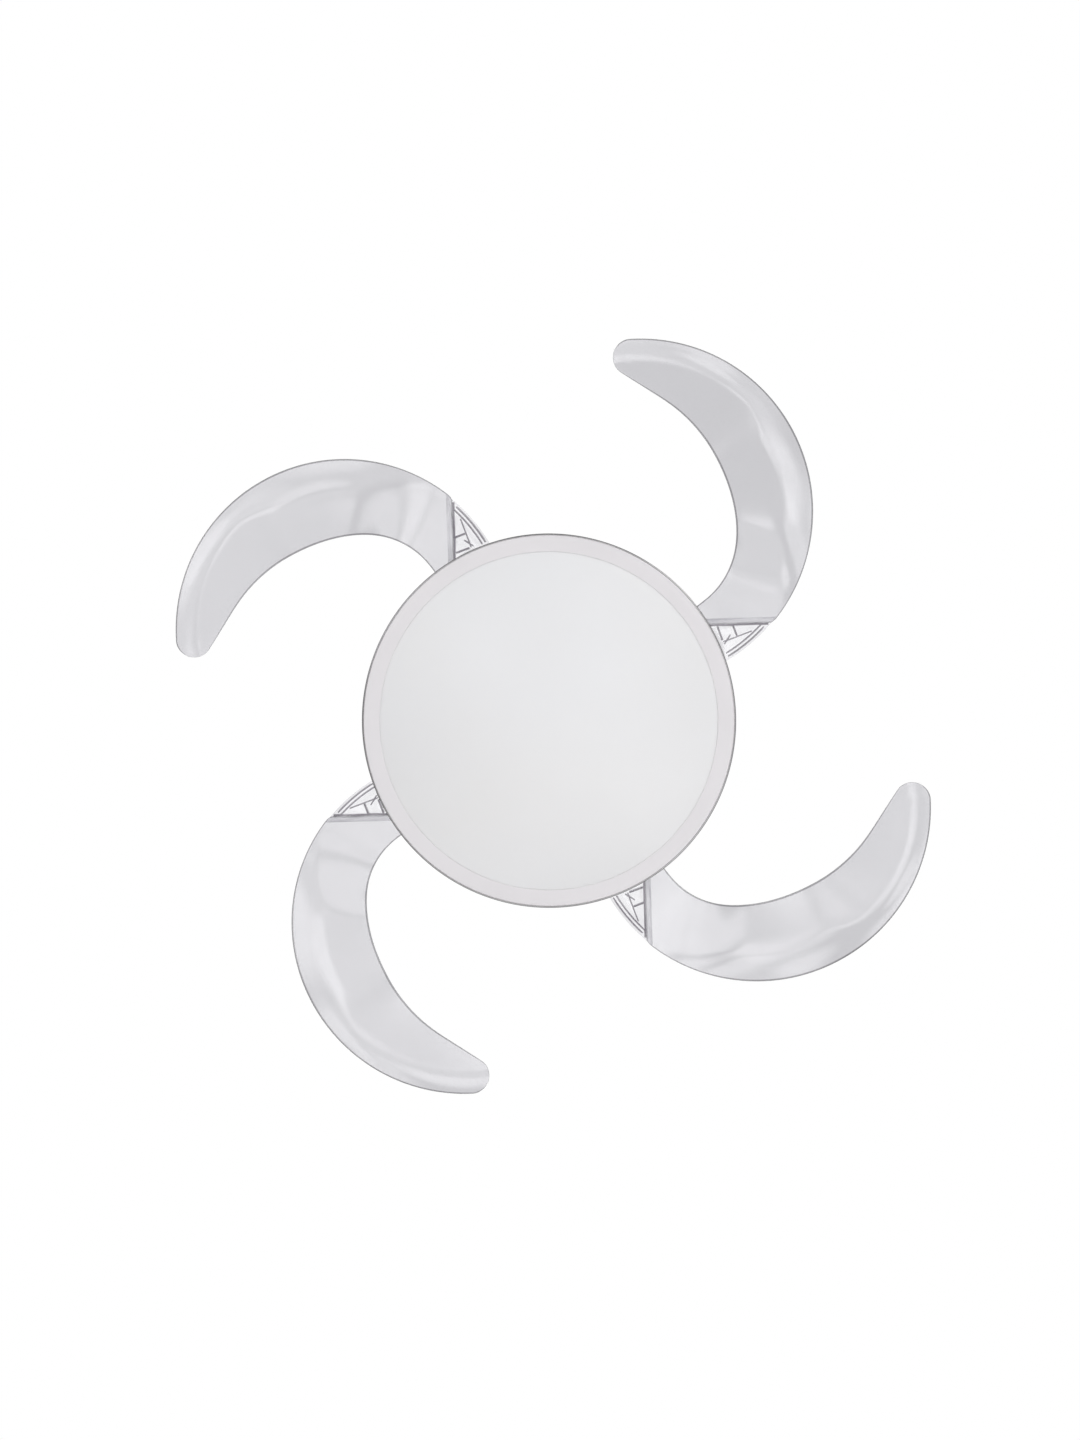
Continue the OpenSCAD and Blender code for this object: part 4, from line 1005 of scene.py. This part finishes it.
class FanStageSet(bpy.types.Operator):
    """Camera below the fan, soft lamps, pale floor and white ground"""

    bl_idname = "fan.stage"
    bl_label = "Stage"

    def execute(self, context):
        scene, stage = context.scene, context.scene.fan_stage
        self.camera(scene, stage)
        self.floor(stage)
        self.world(scene, stage)
        self.lamps(stage)
        scene.view_settings.view_transform = "Standard"
        return {"FINISHED"}

    def camera(self, scene, stage):
        """The photo's camera, which looks up at the fan"""
        data = bpy.data.cameras.new("camera")
        data.lens = stage.focal
        camera = bpy.data.objects.new("camera", data)
        camera.location = stage.camera_at
        camera.rotation_euler = stage.camera_turn
        scene.collection.objects.link(camera)
        scene.camera = camera

    def lamps(self, stage):
        """The lamps that the blades mirror, one from the side and one from above"""
        level = stage.camera_at[2] - LAMP_DEPTH
        for i, (name, x, y, size, radiance, core, card) in enumerate(LOW_LAMPS):
            place, up = (x, y, level - LAMP_STEP * i), (x, y, 0.0)
            softbox("softbox_" + name, place, size, radiance, up, core, card)
        middle = (0.0, 0.0, -0.3)
        softbox("key", (3.4, -1.6, -2.2), size=2.2, radiance=4.4, aim=middle, core=0.5)
        softbox("softbox_above", (-1.6, -2.2, 2.4), size=3.2, radiance=2.2, aim=middle)

    def floor(self, stage):
        """A pale floor that the camera, metal and glass see glow white, less so under the fan"""
        radius, near, far, near_glow = 9.0, 1.8, 4.3, 0.75
        object_mode()
        bpy.ops.object.select_all(action="DESELECT")
        bpy.ops.mesh.primitive_circle_add(
            vertices=128, radius=radius, fill_type="NGON", location=(0.0, 0.0, stage.floor_z)
        )
        floor = bpy.context.object
        floor.name = "floor"
        material = bpy.data.materials.new("floor_white")
        material.use_nodes = True
        tree = material.node_tree
        tree.nodes.remove(tree.nodes["Principled BSDF"])
        pale = put(tree, "BsdfDiffuse", {0: (0.86, 0.86, 0.87, 1.0)}).outputs[0]
        glow = put(tree, "Emission", {0: (1.0, 1.0, 1.0, 1.0), 1: 1.0}).outputs[0]
        path = put(tree, "LightPath").outputs
        seen = maths(tree, "MAXIMUM", path["Is Camera Ray"], path["Is Glossy Ray"])
        seen = maths(tree, "MAXIMUM", seen, path["Is Transmission Ray"])
        away = measure(tree, "LENGTH", object_place(tree))
        share = maths(tree, "MULTIPLY", seen, remap(tree, away, near, far, to_low=near_glow))
        both = put(tree, "MixShader", {0: share, 1: pale, 2: glow}).outputs[0]
        tree.links.new(both, tree.nodes["Material Output"].inputs["Surface"])
        floor.data.materials.append(material)

    def world(self, scene, stage):
        """White to the camera and through glass; in mirrors its horizon darkens to one side"""
        dark_side, dim, bright = (-0.725, -0.687, 0.0), 0.02, 0.8
        world = scene.world or bpy.data.worlds.new("studio")
        scene.world = world
        world.use_nodes = True
        tree = world.node_tree
        tree.nodes.clear()
        path = put(tree, "LightPath").outputs
        seen = maths(tree, "MAXIMUM", path["Is Camera Ray"], path["Is Transmission Ray"])
        way = put(tree, "TexCoord").outputs["Generated"]
        slope = maths(tree, "ABSOLUTE", put(tree, "SeparateXYZ", {0: way}).outputs[2], 0.0)
        side = measure(tree, "DOT_PRODUCT", way, dark_side)
        horizon = remap(tree, side, -0.6, 0.6, bright, dim)
        mirror = remap(tree, slope, 0.4, 0.8, to_low=horizon)
        glossy = remap(tree, path["Is Glossy Ray"], to_low=stage.fill, to_high=mirror)
        level = remap(tree, seen, to_low=glossy)
        light = put(tree, "Background", {0: (1.0, 1.0, 1.0, 1.0), 1: level}).outputs[0]
        tree.links.new(light, put(tree, "OutputWorld").inputs["Surface"])


# ---------- the add-on ----------


OPERATORS = (FanBlades, FanRoots, FanLight, FanFinishes, FanStageSet)
SETTINGS = {"fan_sizes": FanSizes, "fan_colours": FanColours, "fan_stage": FanStage}


class FanPanel(bpy.types.Panel):
    """Lists the fan's pieces and settings"""

    bl_idname = "VIEW3D_PT_fan"
    bl_label = "Ceiling fan"
    bl_space_type = "VIEW_3D"
    bl_region_type = "UI"
    bl_category = "Fan"

    def draw(self, context):
        for operator in OPERATORS:
            self.layout.operator(operator.bl_idname)
        for name, kind in SETTINGS.items():
            box = self.layout.box()
            for key in kind.__annotations__:
                box.prop(getattr(context.scene, name), key)


def register():
    for made in (*SETTINGS.values(), *OPERATORS, FanPanel):
        bpy.utils.register_class(made)
    for name, kind in SETTINGS.items():
        setattr(bpy.types.Scene, name, bpy.props.PointerProperty(type=kind))


def unregister():
    for name in SETTINGS:
        delattr(bpy.types.Scene, name)
    for made in reversed((*SETTINGS.values(), *OPERATORS, FanPanel)):
        bpy.utils.unregister_class(made)


def main():
    register()
    bpy.ops.fan.blades()
    bpy.ops.fan.roots()
    bpy.ops.fan.light()
    bpy.ops.fan.finishes()
    bpy.ops.fan.stage()
    object_mode()


if __name__ == "__main__":
    main()
